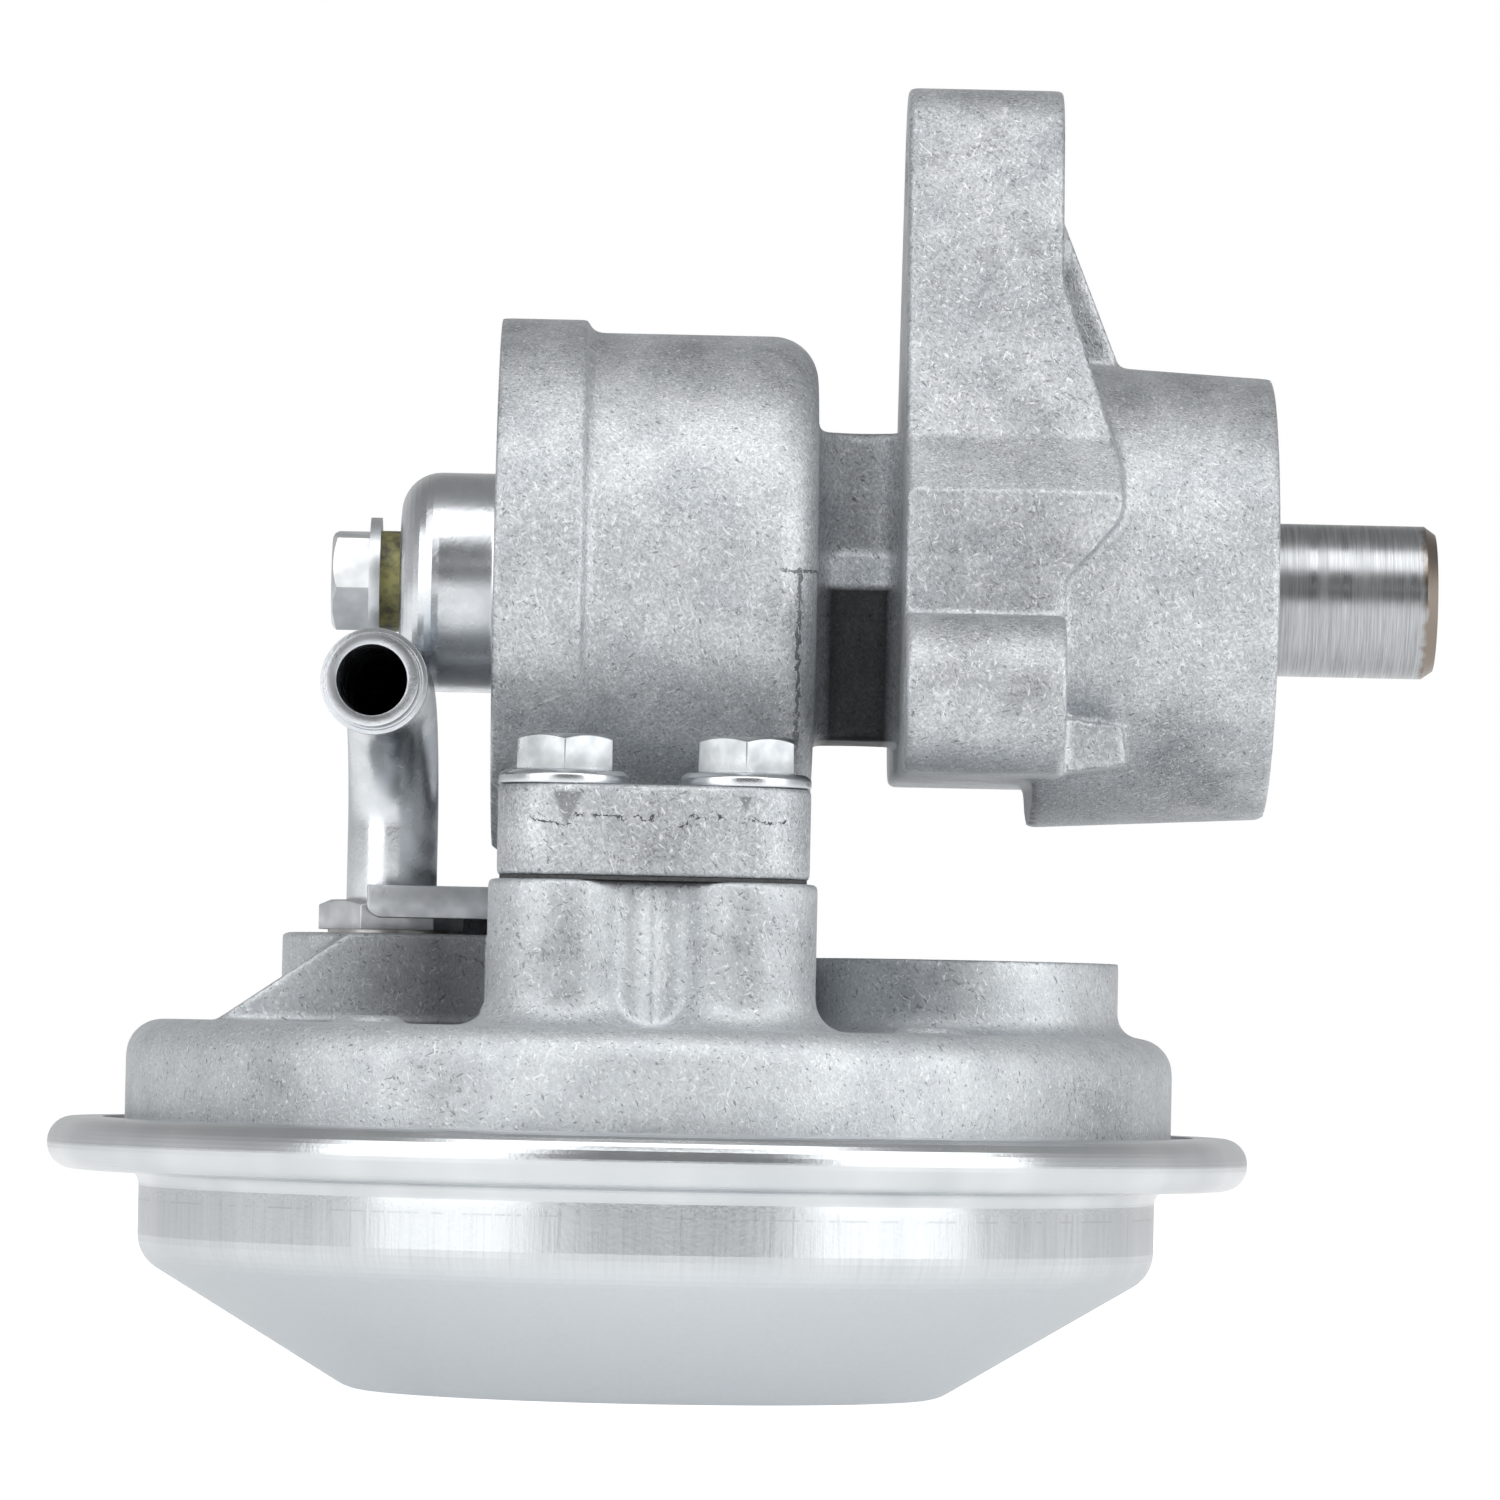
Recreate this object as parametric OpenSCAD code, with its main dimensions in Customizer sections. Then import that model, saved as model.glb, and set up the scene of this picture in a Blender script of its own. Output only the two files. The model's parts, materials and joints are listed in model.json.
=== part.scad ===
// Belt driven engine vacuum pump: a drawn steel can and a cast diaphragm housing below,
// a cast crankcase with its bracket and bearing nose above. Millimetres, +Z up.
// The origin is the centre of the can's flat bottom, and +X runs along the drive shaft.

/* [Drive shaft] */
// Height of the shaft axis above the can's flat bottom
axis_z = 89.5; // [89:0.25:92]
// Diameter of the drive shaft
shaft_d = 17; // [15:0.5:18]
// Length of shaft that stands free of the nose
shaft_free = 18.6; // [15:0.1:30]
// Chamfer on the free end of the shaft
shaft_chamfer = 1.2; // [0.5:0.1:2]

/* [Crank] */
// Offset of the crank pin, half of the diaphragm's stroke
crank_throw = 3; // [2:0.1:3.2]
// Diameter of the crank pin
pin_d = 12; // [10:0.5:13]
// Outer diameter of the big end bearing
big_bearing_d = 32; // [30:0.5:33]
// Width of the big end bearing
big_bearing_w = 10; // [8:0.5:10]
// Thickness of the crank web
web_t = 6.5; // [6:0.25:7]
// Outer radius of the counterweight
weight_r = 21; // [16:0.5:22]
// Wall of the rod's eye round the big end bearing
eye_wall = 3; // [2.5:0.25:3.5]
// Diameter of the rod's round shank
shank_d = 10; // [9:0.25:11]

/* [Shaft bearings] */
// Outer diameter of the bearing at the nose
front_bearing_d = 40; // [36:0.5:41]
// Width of the bearing at the nose
front_bearing_w = 12; // [10:0.5:13]
// Outer diameter of the bearing in the bracket
rear_bearing_d = 35; // [32:0.5:35]
// Width of the bearing in the bracket
rear_bearing_w = 10; // [8:0.5:11]
// Length of the sleeve between the two bearings
spacer_len = 9.5; // [7:0.25:11]
// Width of the lip seal behind the bearings
seal_w = 4.5; // [4:0.25:6]
// Radial width of the lip seal's section
seal_section = 4.5; // [4:0.25:6]

/* [Nose and bracket] */
// Outer diameter of the nose at its front face
nose_front_d = 49; // [48:0.25:52]
// Outer diameter of the nose at its back face
nose_back_d = 51.8; // [50:0.25:54]
// Length of the nose from its back face to its front face
nose_len = 26.1; // [25:0.25:28]
// Distance from the bracket's mounting face to the nose's back face
hub_len = 14.8; // [14:0.1:16]
// Wall of the hub round the bearing in the bracket
hub_wall = 3; // [2.5:0.25:3.5]
// Thickness of the bracket's bolt bosses
boss_t = 17.3; // [16:0.1:19]
// Height of the bracket's top bolt above the shaft axis
top_bolt_z = 47.2; // [44:0.2:52]
// Radius of the top bolt boss
top_boss_r = 9; // [8:0.25:11]
// Distance between the bracket's two lower bolts
low_bolt_gap = 65; // [63:0.5:70]
// Depth of the lower bolts below the shaft axis
low_bolt_drop = 12.3; // [11:0.1:14]
// Radius of the lower bolt bosses
low_boss_r = 8.6; // [8:0.1:10]
// Diameter of the bracket's bolt holes
bracket_hole_d = 8.8; // [7:0.1:10]
// Thickness of the bracket's walls and ribs
rib_t = 4; // [3:0.25:5]

/* [Crankcase] */
// Distance from the rod to the crankcase's rear face
case_back = 18; // [17.6:0.1:19]
// Length of the crankcase along the shaft
case_len = 35.2; // [35:0.1:38]
// Outer diameter of the crankcase
case_d = 56.2; // [55:0.2:58]
// Outer diameter of the crankcase's thick end
case_rim_d = 59; // [58.5:0.25:62]
// Length of the crankcase's thick end
case_rim_w = 9.6; // [6:0.2:14]
// Diameter of the crank chamber
chamber_d = 48; // [47.5:0.25:50]
// Wall between the crank chamber and the neck
chamber_end_t = 3.6; // [3.3:0.1:3.8]
// Corner radius of the crankcase's end
case_corner_r = 5; // [3:0.25:6]
// Length of the neck between the crankcase and the bracket
neck_len = 9.4; // [9:0.1:10]
// Height of the neck
neck_h = 34; // [30:0.5:36]
// Width of the neck
neck_w = 23; // [22.5:0.25:25]
// Radius of the neck's corners
neck_fillet = 3.6; // [2:0.1:4]
// Slope of the neck's sides away from the mould's parting line
neck_draft = 4; // [1:0.5:5]

/* [Base flange] */
// Width of the crankcase's base flange along the shaft
base_w = 33.6; // [33:0.2:36]
// Length of the base flange across the shaft
base_len = 87; // [86.5:0.5:92]
// Thickness of the base flange
base_t = 9.8; // [8.5:0.1:11]
// Distance from the clamp bolts to the flange's long edges
clamp_edge_x = 7.1; // [6.8:0.1:7.4]
// Distance from the clamp bolts to the flange's ends
clamp_edge_y = 7.5; // [7:0.1:8]
// Thread diameter of the clamp bolts
clamp_d = 6; // [5:0.5:6.5]
// Depth of the clamp bolts' thread in the pedestal
clamp_thread = 12; // [8:0.5:12.5]
// Thickness of the gasket under the base flange
gasket_t = 0.4; // [0.3:0.1:1]
// Diameter of the rod's passage
passage_d = 26; // [25:0.5:27]

/* [Diaphragm housing] */
// Outer radius of the housing's wall
wall_r = 58; // [57:0.25:59]
// Thickness of the housing's wall
wall_t = 4.5; // [3.5:0.25:5]
// Height of the housing from its flange to its deck
housing_h = 14.1; // [13.8:0.1:15]
// Thickness of the deck
deck_t = 3.5; // [3:0.1:3.8]
// Thickness of the housing's flange
flange_t = 1.8; // [1.5:0.1:2.5]
// Height of the pedestal above the deck
pedestal_h = 15.8; // [15:0.2:18]
// Radius of the pedestal's bolt bosses
pillar_r = 8; // [7.5:0.1:8.4]
// Radius of the fillets at the foot of the pedestal
foot_fillet = 3.5; // [2:0.25:4]

/* [Lower can] */
// Thickness of the can's sheet steel
can_t = 1.4; // [1:0.1:1.6]
// Distance that the rolled rim stands out from the housing's wall
rim_out = 8.5; // [8:0.25:10]
// Height of the rolled rim's underside
rim_z = 23.7; // [23:0.1:26]
// Distance of the can's wall inside the housing's wall
can_in = 1.7; // [1:0.1:2.5]
// Height of the can's cone
cone_h = 14.2; // [12:0.2:15]
// Radius of the can's flat bottom
flat_r = 32.7; // [28:0.5:36]

/* [Diaphragm] */
// Thickness of the diaphragm
skin_t = 1.2; // [1:0.1:1.6]
// Radius of the plates that clamp the diaphragm
plate_r = 42; // [38:0.5:43]
// Thickness of the lower plate
low_plate_t = 1.5; // [1.2:0.1:2.5]
// Gap between the upper plate and the deck at the top of the stroke
top_gap = 0.8; // [0.6:0.1:1.2]

/* [Ports] */
// Distance of the inlet from the housing's wall
inlet_edge = 29; // [28:0.1:30]
// Radius of the inlet boss
inlet_boss_r = 12; // [11.5:0.1:13]
// Height of the inlet boss above the deck
inlet_boss_h = 9.9; // [9.5:0.1:11]
// Distance of the outlet from the housing's wall
outlet_edge = 23.6; // [23:0.1:24]
// Radius of the outlet boss
outlet_boss_r = 17.5; // [16.5:0.1:18]
// Height of the outlet boss above the deck
outlet_boss_h = 8.2; // [8:0.1:9]
// Outer diameter of the inlet tube
tube_d = 10; // [9:0.1:10.4]
// Wall of the inlet tube
tube_wall = 1.2; // [0.8:0.1:1.5]
// Radius of the inlet tube's bend
tube_bend_r = 15; // [12:0.5:17]
// Height of the inlet tube's mouth above the deck
tube_rise = 36.6; // [34:0.2:40]
// Distance of the inlet tube's mouth from the rod, across the shaft
tube_reach = 42; // [38:0.5:50]
// Angle of the inlet tube in plan
tube_turn = 2; // [0:0.5:4]
// Radius of the valve discs
disc_r = 6.5; // [6:0.1:6.8]
// Lift of the valve discs
valve_lift = 1.3; // [1:0.1:1.5]

/* [Rear cover] */
// Outer radius of the dome on the rear cover
dome_r = 12.2; // [11:0.1:14]
// Length of the dome
dome_len = 10.7; // [9.5:0.1:14]
// Thickness of the rear cover's sheet steel
cover_t = 1.2; // [1:0.1:1.5]
// Thickness of the plug's sealing ring
plug_seal_t = 2.2; // [1.5:0.1:3.5]
// Thread diameter of the plug bolt
plug_d = 6; // [5:0.5:6.5]

/* [Hidden] */
// Small overlap that makes a cut run past a face
eps = 0.5;
// Radial gap of a pressed or screwed fit
snug = 0.02;
// Radial gap of a running fit
run = 0.05;
// Ratio of a hexagon's corners to its flats
hex_ratio = 1 / cos(30);
$fn = 72;

shaft_r = shaft_d / 2;
pin_r = pin_d / 2;
case_x = case_len - case_back;
face_x = case_x + neck_len;
hub_x = face_x + hub_len;
nose_x = hub_x + nose_len;
shaft_end_x = nose_x + shaft_free;
case_r = case_d / 2;
case_rim_r = case_rim_d / 2;
chamber_r = chamber_d / 2;
chamber_x = case_x - chamber_end_t;
hub_r = rear_bearing_d / 2 + hub_wall;

// The bearing at the nose sits behind a circlip, and the others follow it inwards.
nose_land = 2.2;
clip_t = 1.75;
front_x1 = nose_x - nose_land - clip_t;
front_x0 = front_x1 - front_bearing_w;
rear_x1 = front_x0 - spacer_len;
rear_x0 = rear_x1 - rear_bearing_w;
seal_x1 = rear_x0 - 0.5;
seal_x0 = seal_x1 - seal_w;
seal_r = shaft_r + seal_section;
neck_bore_r = shaft_r + 0.6;
shaft_clip_t = 1;
relief_w = 2.2;
relief_depth = 0.3;

// Points of the bracket's outline, as height above the axis and distance to the side
flare_y = hub_r + 0.4;
flare_z = 16.4;
wall_lean = (flare_y - top_boss_r) / (top_bolt_z - flare_z);
lobe_y = hub_r + 7;
lobe_z = 9.4;
lobe_in_y = lobe_y - 1.2;
lobe_in_z = low_boss_r - low_bolt_drop;
low_y = low_bolt_gap / 2;
low_z = -low_bolt_drop;
low_edge_z = low_z - low_boss_r;

// The crank pin at rest is at the bottom of its circle.
pin_z = axis_z - crank_throw;
big_x = big_bearing_w / 2;
web_x0 = big_x + 1.5;
web_x1 = web_x0 + web_t;
spigot_r = shaft_r - 1.5;
spigot_len = web_t - 0.5;
pin_clip_t = 0.9;
pin_tip_x = -big_x - pin_clip_t - 0.7;
eye_r = big_bearing_d / 2 + eye_wall;

rim_r = wall_r + rim_out;
can_r = wall_r - can_in;
lip_r = rim_r - 6;
rim_h = 2 * can_t + skin_t + flange_t;
skin_z = rim_z + can_t;
flange_z = skin_z + skin_t;
deck_z = flange_z + housing_h;
roof_z = deck_z - deck_t;
pedestal_z = deck_z + pedestal_h;
base_z = pedestal_z + gasket_t;
ear_z = base_z + base_t;
rim_bend_r = 2.1;
flange_r = rim_r - can_t / 2 - rim_bend_r - 0.2;
cavity_r = wall_r - wall_t;
passage_r = passage_d / 2;
clamp_x = base_w / 2 - clamp_edge_x;
clamp_y = base_len / 2 - clamp_edge_y;
clamp_washer_t = 1.5;
clamp_washer_r = 7.1;
clamp_head_h = 3.9;
clamp_flats = 10.3;
base_corner_r = 7;
pillar_web = 3;
waist_x = passage_r + 2.2;

// The upper plate fills the chamber at the top of the stroke.
plate_top_z = roof_z - top_gap - 2 * crank_throw;
clamp_z = skin_z - crank_throw;
up_plate_t = plate_top_z - clamp_z - skin_t;
foot_r = 8;
foot_t = 4;
foot_z = plate_top_z - foot_t;
screw_r = 3;
screw_head_h = 4;
screw_grip = 14;
screw_washer_t = 1.2;
screw_washer_r = 9;

boot_ring_t = 0.8;
boot_flange_t = 1.2;
boot_drop = 7;
boot_seat_r = passage_r + 2;
boot_seat_z = pedestal_z - boot_ring_t - boot_flange_t;

inlet_x = wall_r - inlet_edge;
outlet_x = wall_r - outlet_edge;
inlet_top_z = deck_z + inlet_boss_h;
outlet_top_z = deck_z + outlet_boss_h;
valve_r = disc_r + 1.5;
valve_seat_t = 1.5;
valve_disc_t = 1.2;
valve_cage_t = 1.2;
port_r = disc_r - 2.3;
spring_wire = 0.7;
spring_len = 3;
spring_turns = 3;
inlet_cage_z = roof_z + 0.2;
inlet_disc_z = inlet_cage_z + valve_cage_t + spring_len;
inlet_seat_z = inlet_disc_z + valve_disc_t;
inlet_pocket_z = inlet_seat_z + valve_seat_t;
outlet_seat_z = roof_z + 1.5;
outlet_disc_z = outlet_seat_z + valve_seat_t;
outlet_cage_z = outlet_disc_z + valve_disc_t + spring_len;
outlet_well_z = outlet_cage_z + valve_cage_t;
outlet_cap_t = 1.2;
outlet_well_r = outlet_boss_r - 3.5;

fitting_flats = 14;
fitting_h = 3.3;
fitting_washer_t = 0.4;
fitting_thread_r = 5.8;
fitting_thread_len = inlet_top_z - inlet_pocket_z - 1;
fitting_z = inlet_top_z + fitting_washer_t;
fitting_top_z = fitting_z + fitting_h;
tube_r = tube_d / 2;
tube_z = deck_z + tube_rise;
bead_r = tube_r + 0.75;
bead_w = 2;
bead_back = 3.5;

ramp_len = 18.6;
pad_x = wall_r - 28;
pad_y = wall_r - 20;
pad_r = 3.5;
pad_h = 0.8;
lock_t = 1.5;
lock_h = 3.6;
lock_y0 = -11;
lock_z = fitting_top_z + 0.1 - (lock_h - lock_t);
lock_screw_x = waist_x + 6.3;
lock_screw_y = 17;
lock_screw_r = 2;
lock_head_r = 3.6;
lock_screw_len = 9;

cover_seat_r = case_rim_r - 3.5;
cover_seat_depth = 2.6;
cover_in = 0.4;
plug_flange_r = 7.05;
plug_flange_t = 1.2;
plug_head_h = 4.2;
plug_nut_h = 5;

// Frames and plain shapes

// Turns what is built along +Z to lie along the shaft, from x0 on.
module along_x(x0 = 0, z = axis_z) {
  translate([x0, 0, z]) rotate([0, 90, 0]) children();
}

// The same, but pointing away from the nose.
module against_x(x0 = 0) {
  translate([x0, 0, axis_z]) rotate([0, -90, 0]) children();
}

module x_rod(r, x0, x1, z = axis_z) {
  along_x(x0, z) cylinder(r = r, h = x1 - x0);
}

module ring(r_in, r_out, h) {
  difference() {
    cylinder(r = r_out, h = h);
    translate([0, 0, -eps]) cylinder(r = r_in, h = h + 2 * eps);
  }
}

module x_ring(r_in, r_out, x0, x1, z = axis_z) {
  along_x(x0, z) ring(r_in, r_out, x1 - x0);
}

// Extrudes an outline drawn across the shaft, as (y, height above the axis).
module across_x(x0, x1) {
  translate([x0, 0, axis_z]) rotate([90, 0, 90]) linear_extrude(x1 - x0) children();
}

// Extrudes an outline drawn beside the shaft, as (x, z).
module across_y(y0, y1, z = 0) {
  translate([0, y1, z]) rotate([90, 0, 0]) linear_extrude(y1 - y0) children();
}

module both_sides() {
  children();
  mirror([0, 1, 0]) children();
}

module at_clamps() {
  for (sx = [-1, 1], sy = [-1, 1]) translate([sx * clamp_x, sy * clamp_y, 0]) children();
}

module hexagon(flats) {
  circle(r = flats / 2 * hex_ratio, $fn = 6);
}

// A hexagon head with its corners turned off.
module hex_head(flats, h) {
  intersection() {
    linear_extrude(h) hexagon(flats);
    union() {
      cylinder(r = flats / 2 * hex_ratio + eps, h = h - 0.6);
      translate([0, 0, h - 0.6]) cylinder(r1 = flats / 2 * hex_ratio, r2 = flats / 2 - 0.3, h = 0.6);
    }
  }
}

// The corner that a fillet fills, with its square corner at the origin.
module fillet_2d(r) {
  difference() {
    square(r);
    translate([r, r]) circle(r = r);
  }
}

module ring_fillet(r, f) {
  rotate_extrude() translate([r, 0]) fillet_2d(f);
}

// Straight fillet along +Y in the corner of the planes x = 0 and z = 0.
module bar_fillet(len, f) {
  translate([0, len, 0]) rotate([90, 0, 0]) linear_extrude(len) fillet_2d(f);
}

// Section of bent sheet. The points follow its outer face, the sheet lies to their left,
// and the radii are those of the sheet's middle at each bend.
function unit(v) = v / norm(v);
function left(v) = [-v[1], v[0]];
function angle_of(v) = atan2(v[1], v[0]);
function turn(a, b) = atan2(a[0] * b[1] - a[1] * b[0], a * b);
function step_dir(p, i) = unit(p[i + 1] - p[i]);

function shifted(p, t) = [
  for (i = [0:len(p) - 1])
    let (
      a = step_dir(p, max(i - 1, 0)),
      b = step_dir(p, min(i, len(p) - 2))
    )
    p[i] + unit(left(a) + left(b)) * t / cos(turn(a, b) / 2)
];

function bend_points(p, i, r, off) =
  let (
    a = step_dir(p, i - 1),
    b = step_dir(p, i),
    angle = turn(a, b),
    side = sign(angle),
    start = p[i] - a * r * tan(abs(angle) / 2),
    c = start + left(a) * side * r,
    steps = ceil(abs(angle) / 10)
  )
  [for (k = [0:steps])
    let (at = angle_of(start - c) + angle * k / steps)
    c + (r - side * off) * [cos(at), sin(at)]];

function sheet_side(p, radii, off) = [
  p[0] + left(step_dir(p, 0)) * off,
  for (i = [1:len(p) - 2]) each bend_points(p, i, radii[i - 1], off),
  p[len(p) - 1] + left(step_dir(p, len(p) - 2)) * off
];

module sheet_section(outer, t, radii) {
  mid = shifted(outer, t / 2);
  near = sheet_side(mid, radii, -t / 2);
  far = sheet_side(mid, radii, t / 2);
  polygon(concat(near, [for (i = [len(far) - 1:-1:0]) far[i]]));
}

// Coil spring with its wire's ends ground level.
module coil_spring(r, wire, len, turns) {
  sides = 6;
  rings = round(turns * 14);
  function ring_at(k) =
    let (a = 360 * turns * k / rings, z = wire / 2 + (len - wire) * k / rings)
    [for (j = [0:sides - 1])
      let (b = 360 * j / sides + 30, out = r + wire / 2 * cos(b))
      [out * cos(a), out * sin(a), z + wire / 2 * sin(b)]];
  points = [for (k = [0:rings]) each ring_at(k)];
  walls = [
    for (k = [0:rings - 1], j = [0:sides - 1])
      let (a = k * sides + j, b = k * sides + (j + 1) % sides)
      [a, a + sides, b + sides, b]
  ];
  first = [for (j = [0:sides - 1]) j];
  last = [for (j = [sides - 1:-1:0]) rings * sides + j];
  polyhedron(points, concat(walls, [first, last]), convexity = 4);
}

// Ball bearings

function pitch_r(bore_r, out_r) = (bore_r + out_r) / 2;
function ball_r(bore_r, out_r) = 0.29 * (out_r - bore_r);
function shoulder(bore_r, out_r) = 0.45 * ball_r(bore_r, out_r);

module race_groove(bore_r, out_r, w) {
  translate([0, 0, w / 2]) rotate_extrude()
    translate([pitch_r(bore_r, out_r), 0]) circle(r = ball_r(bore_r, out_r) + run);
}

module outer_race(bore_r, out_r, w) {
  difference() {
    ring(pitch_r(bore_r, out_r) + shoulder(bore_r, out_r), out_r, w);
    race_groove(bore_r, out_r, w);
  }
}

module inner_race(bore_r, out_r, w) {
  difference() {
    ring(bore_r, pitch_r(bore_r, out_r) - shoulder(bore_r, out_r), w);
    race_groove(bore_r, out_r, w);
  }
}

module at_balls(bore_r, out_r, w, count) {
  for (i = [0:count - 1]) rotate([0, 0, i * 360 / count])
    translate([pitch_r(bore_r, out_r), 0, w / 2]) children();
}

module ball_set(bore_r, out_r, w, count) {
  at_balls(bore_r, out_r, w, count) sphere(r = ball_r(bore_r, out_r), $fn = 32);
}

module ball_cage(bore_r, out_r, w, count) {
  mid = pitch_r(bore_r, out_r);
  half = shoulder(bore_r, out_r) * 0.7;
  h = 2 * ball_r(bore_r, out_r) * 1.15;
  difference() {
    translate([0, 0, (w - h) / 2]) ring(mid - half, mid + half, h);
    at_balls(bore_r, out_r, w, count) rotate([0, 90, 0])
      cylinder(r = ball_r(bore_r, out_r) + 2 * run, h = 4 * half, center = true);
  }
}

module shield_pair(bore_r, out_r, w) {
  in = pitch_r(bore_r, out_r) - shoulder(bore_r, out_r) + 0.25;
  out = pitch_r(bore_r, out_r) + shoulder(bore_r, out_r) - snug;
  for (z = [0.25, w - 0.25 - 0.4]) translate([0, 0, z]) ring(in, out, 0.4);
}

// Crankcase, neck, bracket and nose in one casting

module case_shell() {
  against_x(case_x) difference() {
    rotate_extrude() difference() {
      union() {
        square([case_r, case_len]);
        translate([0, case_len - case_rim_w]) square([case_rim_r, case_rim_w]);
        translate([case_r, case_len - case_rim_w]) mirror([0, 1]) fillet_2d(case_rim_r - case_r);
      }
      translate([case_r, 0]) mirror([1, 0]) fillet_2d(case_corner_r);
    }
  }
}

module neck_plan() {
  square([neck_len + 2 * eps, neck_w], center = true);
  for (sx = [-1, 1], sy = [-1, 1]) scale([sx, sy])
    translate([-neck_len / 2, neck_w / 2]) fillet_2d(neck_fillet);
  for (sx = [-1, 1]) translate([sx * (neck_len / 2 + eps / 2), 0])
    square([eps, neck_w + 2 * neck_fillet], center = true);
}

// Shallow scoops that the core left at the top and bottom edges of the neck.
module neck_scoops() {
  scoop_r = neck_len / 2 - 0.5;
  scoop_h = 2.1;
  for (top = [0, 1], side = [0, 1]) mirror([0, side, 0]) mirror([0, 0, top])
    translate([0, -neck_w / 2, neck_h / 2 - scoop_h]) rotate([-45, 0, 0])
      translate([0, -scoop_r, 0]) cylinder(r = scoop_r, h = neck_h, center = true);
}

module neck_side() {
  intersection() {
    neck_plan();
    translate([-neck_len, 0]) square([2 * neck_len, neck_w]);
  }
}

// The sides lean in above and below the parting line, which left a ridge of flash.
module neck() {
  ridge = 0.4;
  ridge_h = 3.6;
  translate([(case_x + face_x) / 2, 0, axis_z]) {
    intersection() {
      both_sides() for (half = [0, 1]) mirror([0, 0, half])
        translate([0, neck_w / 2, 0]) rotate([neck_draft, 0, 0])
          translate([0, -neck_w / 2, -1]) linear_extrude(neck_h / 2 + 3) neck_side();
      rotate([0, 90, 0]) cylinder(r = neck_h / 2 + 3.4, h = 2 * neck_len, center = true);
      cube([2 * neck_len, 2 * neck_w, neck_h], center = true);
    }
    translate([-neck_len / 2 - eps, -neck_w / 2 - ridge, 0])
      cube([neck_len + 2 * eps, neck_w + 2 * ridge, ridge_h]);
  }
}

function tangent_point(c, r, p) =
  let (
    d = norm(c - p),
    toward = atan2(c[1] - p[1], c[0] - p[0]),
    half = asin(r / d),
    reach = sqrt(d * d - r * r)
  )
  p + reach * [cos(toward - half), sin(toward - half)];

module bracket_half_outline() {
  flare = [flare_y, flare_z];
  top = [0, top_bolt_z];
  touch = tangent_point(top, top_boss_r, flare);
  polygon([
    [0, low_edge_z], [low_y, low_edge_z], [low_y, lobe_in_z],
    [lobe_in_y, lobe_in_z], [lobe_y, lobe_z - 1], [lobe_y, lobe_z + 0.5], flare, touch, top
  ]);
  translate(top) circle(r = top_boss_r);
  translate([low_y, low_z]) circle(r = low_boss_r);
}

module bracket_outline() {
  bracket_half_outline();
  mirror([1, 0]) bracket_half_outline();
}

// How far the bracket's walls stand out along the shaft at each height.
module bracket_depth() {
  front = face_x + boss_t;
  polygon([
    [face_x, low_edge_z - eps], [front, low_edge_z - eps], [front, 0.3], [front + 3, 3.6],
    [front + 6, 7.2], [front + 6.5, 10.2], [front + 6.1, 13.6], [front - 0.1, 34],
    [front, top_bolt_z + top_boss_r + eps], [face_x, top_bolt_z + top_boss_r + eps]
  ]);
}

module pocket_outline() {
  floor_z = hub_r + 1.5;
  roof = top_bolt_z - top_boss_r - 1;
  function wall_in(z) = flare_y - (z - flare_z) * wall_lean - rib_t - 0.3;
  polygon([[rib_t / 2, floor_z], [wall_in(floor_z), floor_z], [wall_in(roof), roof], [rib_t / 2, roof]]);
}

module bracket() {
  web = 6;
  depth = boss_t + 12;
  difference() {
    intersection() {
      across_x(face_x, face_x + depth) bracket_outline();
      across_y(-low_bolt_gap, low_bolt_gap, axis_z) bracket_depth();
    }
    both_sides() across_x(face_x + web, face_x + depth + eps) pocket_outline();
  }
  // Centre rib from the top boss down to the nose
  across_y(-rib_t / 2, rib_t / 2, axis_z) polygon([
    [face_x + web - eps, hub_r], [hub_x + 9.3, hub_r], [hub_x + 9.3, nose_back_d / 2 - 0.6],
    [face_x + boss_t, top_bolt_z - 5], [face_x + web - eps, top_bolt_z - 5]
  ]);
  // Small gussets from the lower bosses to the nose
  both_sides() across_y(hub_r * 0.75, low_y - 4.5, axis_z) polygon([
    [face_x + boss_t - eps, -14.5], [hub_x + 9.2, -15.3],
    [hub_x + 9.6, -19.5], [face_x + boss_t - eps, low_edge_z + 0.3]
  ]);
}

module nose() {
  x_rod(hub_r, face_x, hub_x + eps);
  along_x(hub_x) cylinder(r1 = nose_back_d / 2, r2 = nose_front_d / 2, h = nose_len);
}

module rounded_plan(w, l, r) {
  for (sx = [-1, 1], sy = [-1, 1]) translate([sx * (w / 2 - r), sy * (l / 2 - r)]) circle(r = r);
  square([w - 2 * r, l], center = true);
  square([w, l - 2 * r], center = true);
}

module base_flange() {
  translate([0, 0, base_z]) linear_extrude(base_t) rounded_plan(base_w, base_len, base_corner_r);
}

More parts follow.
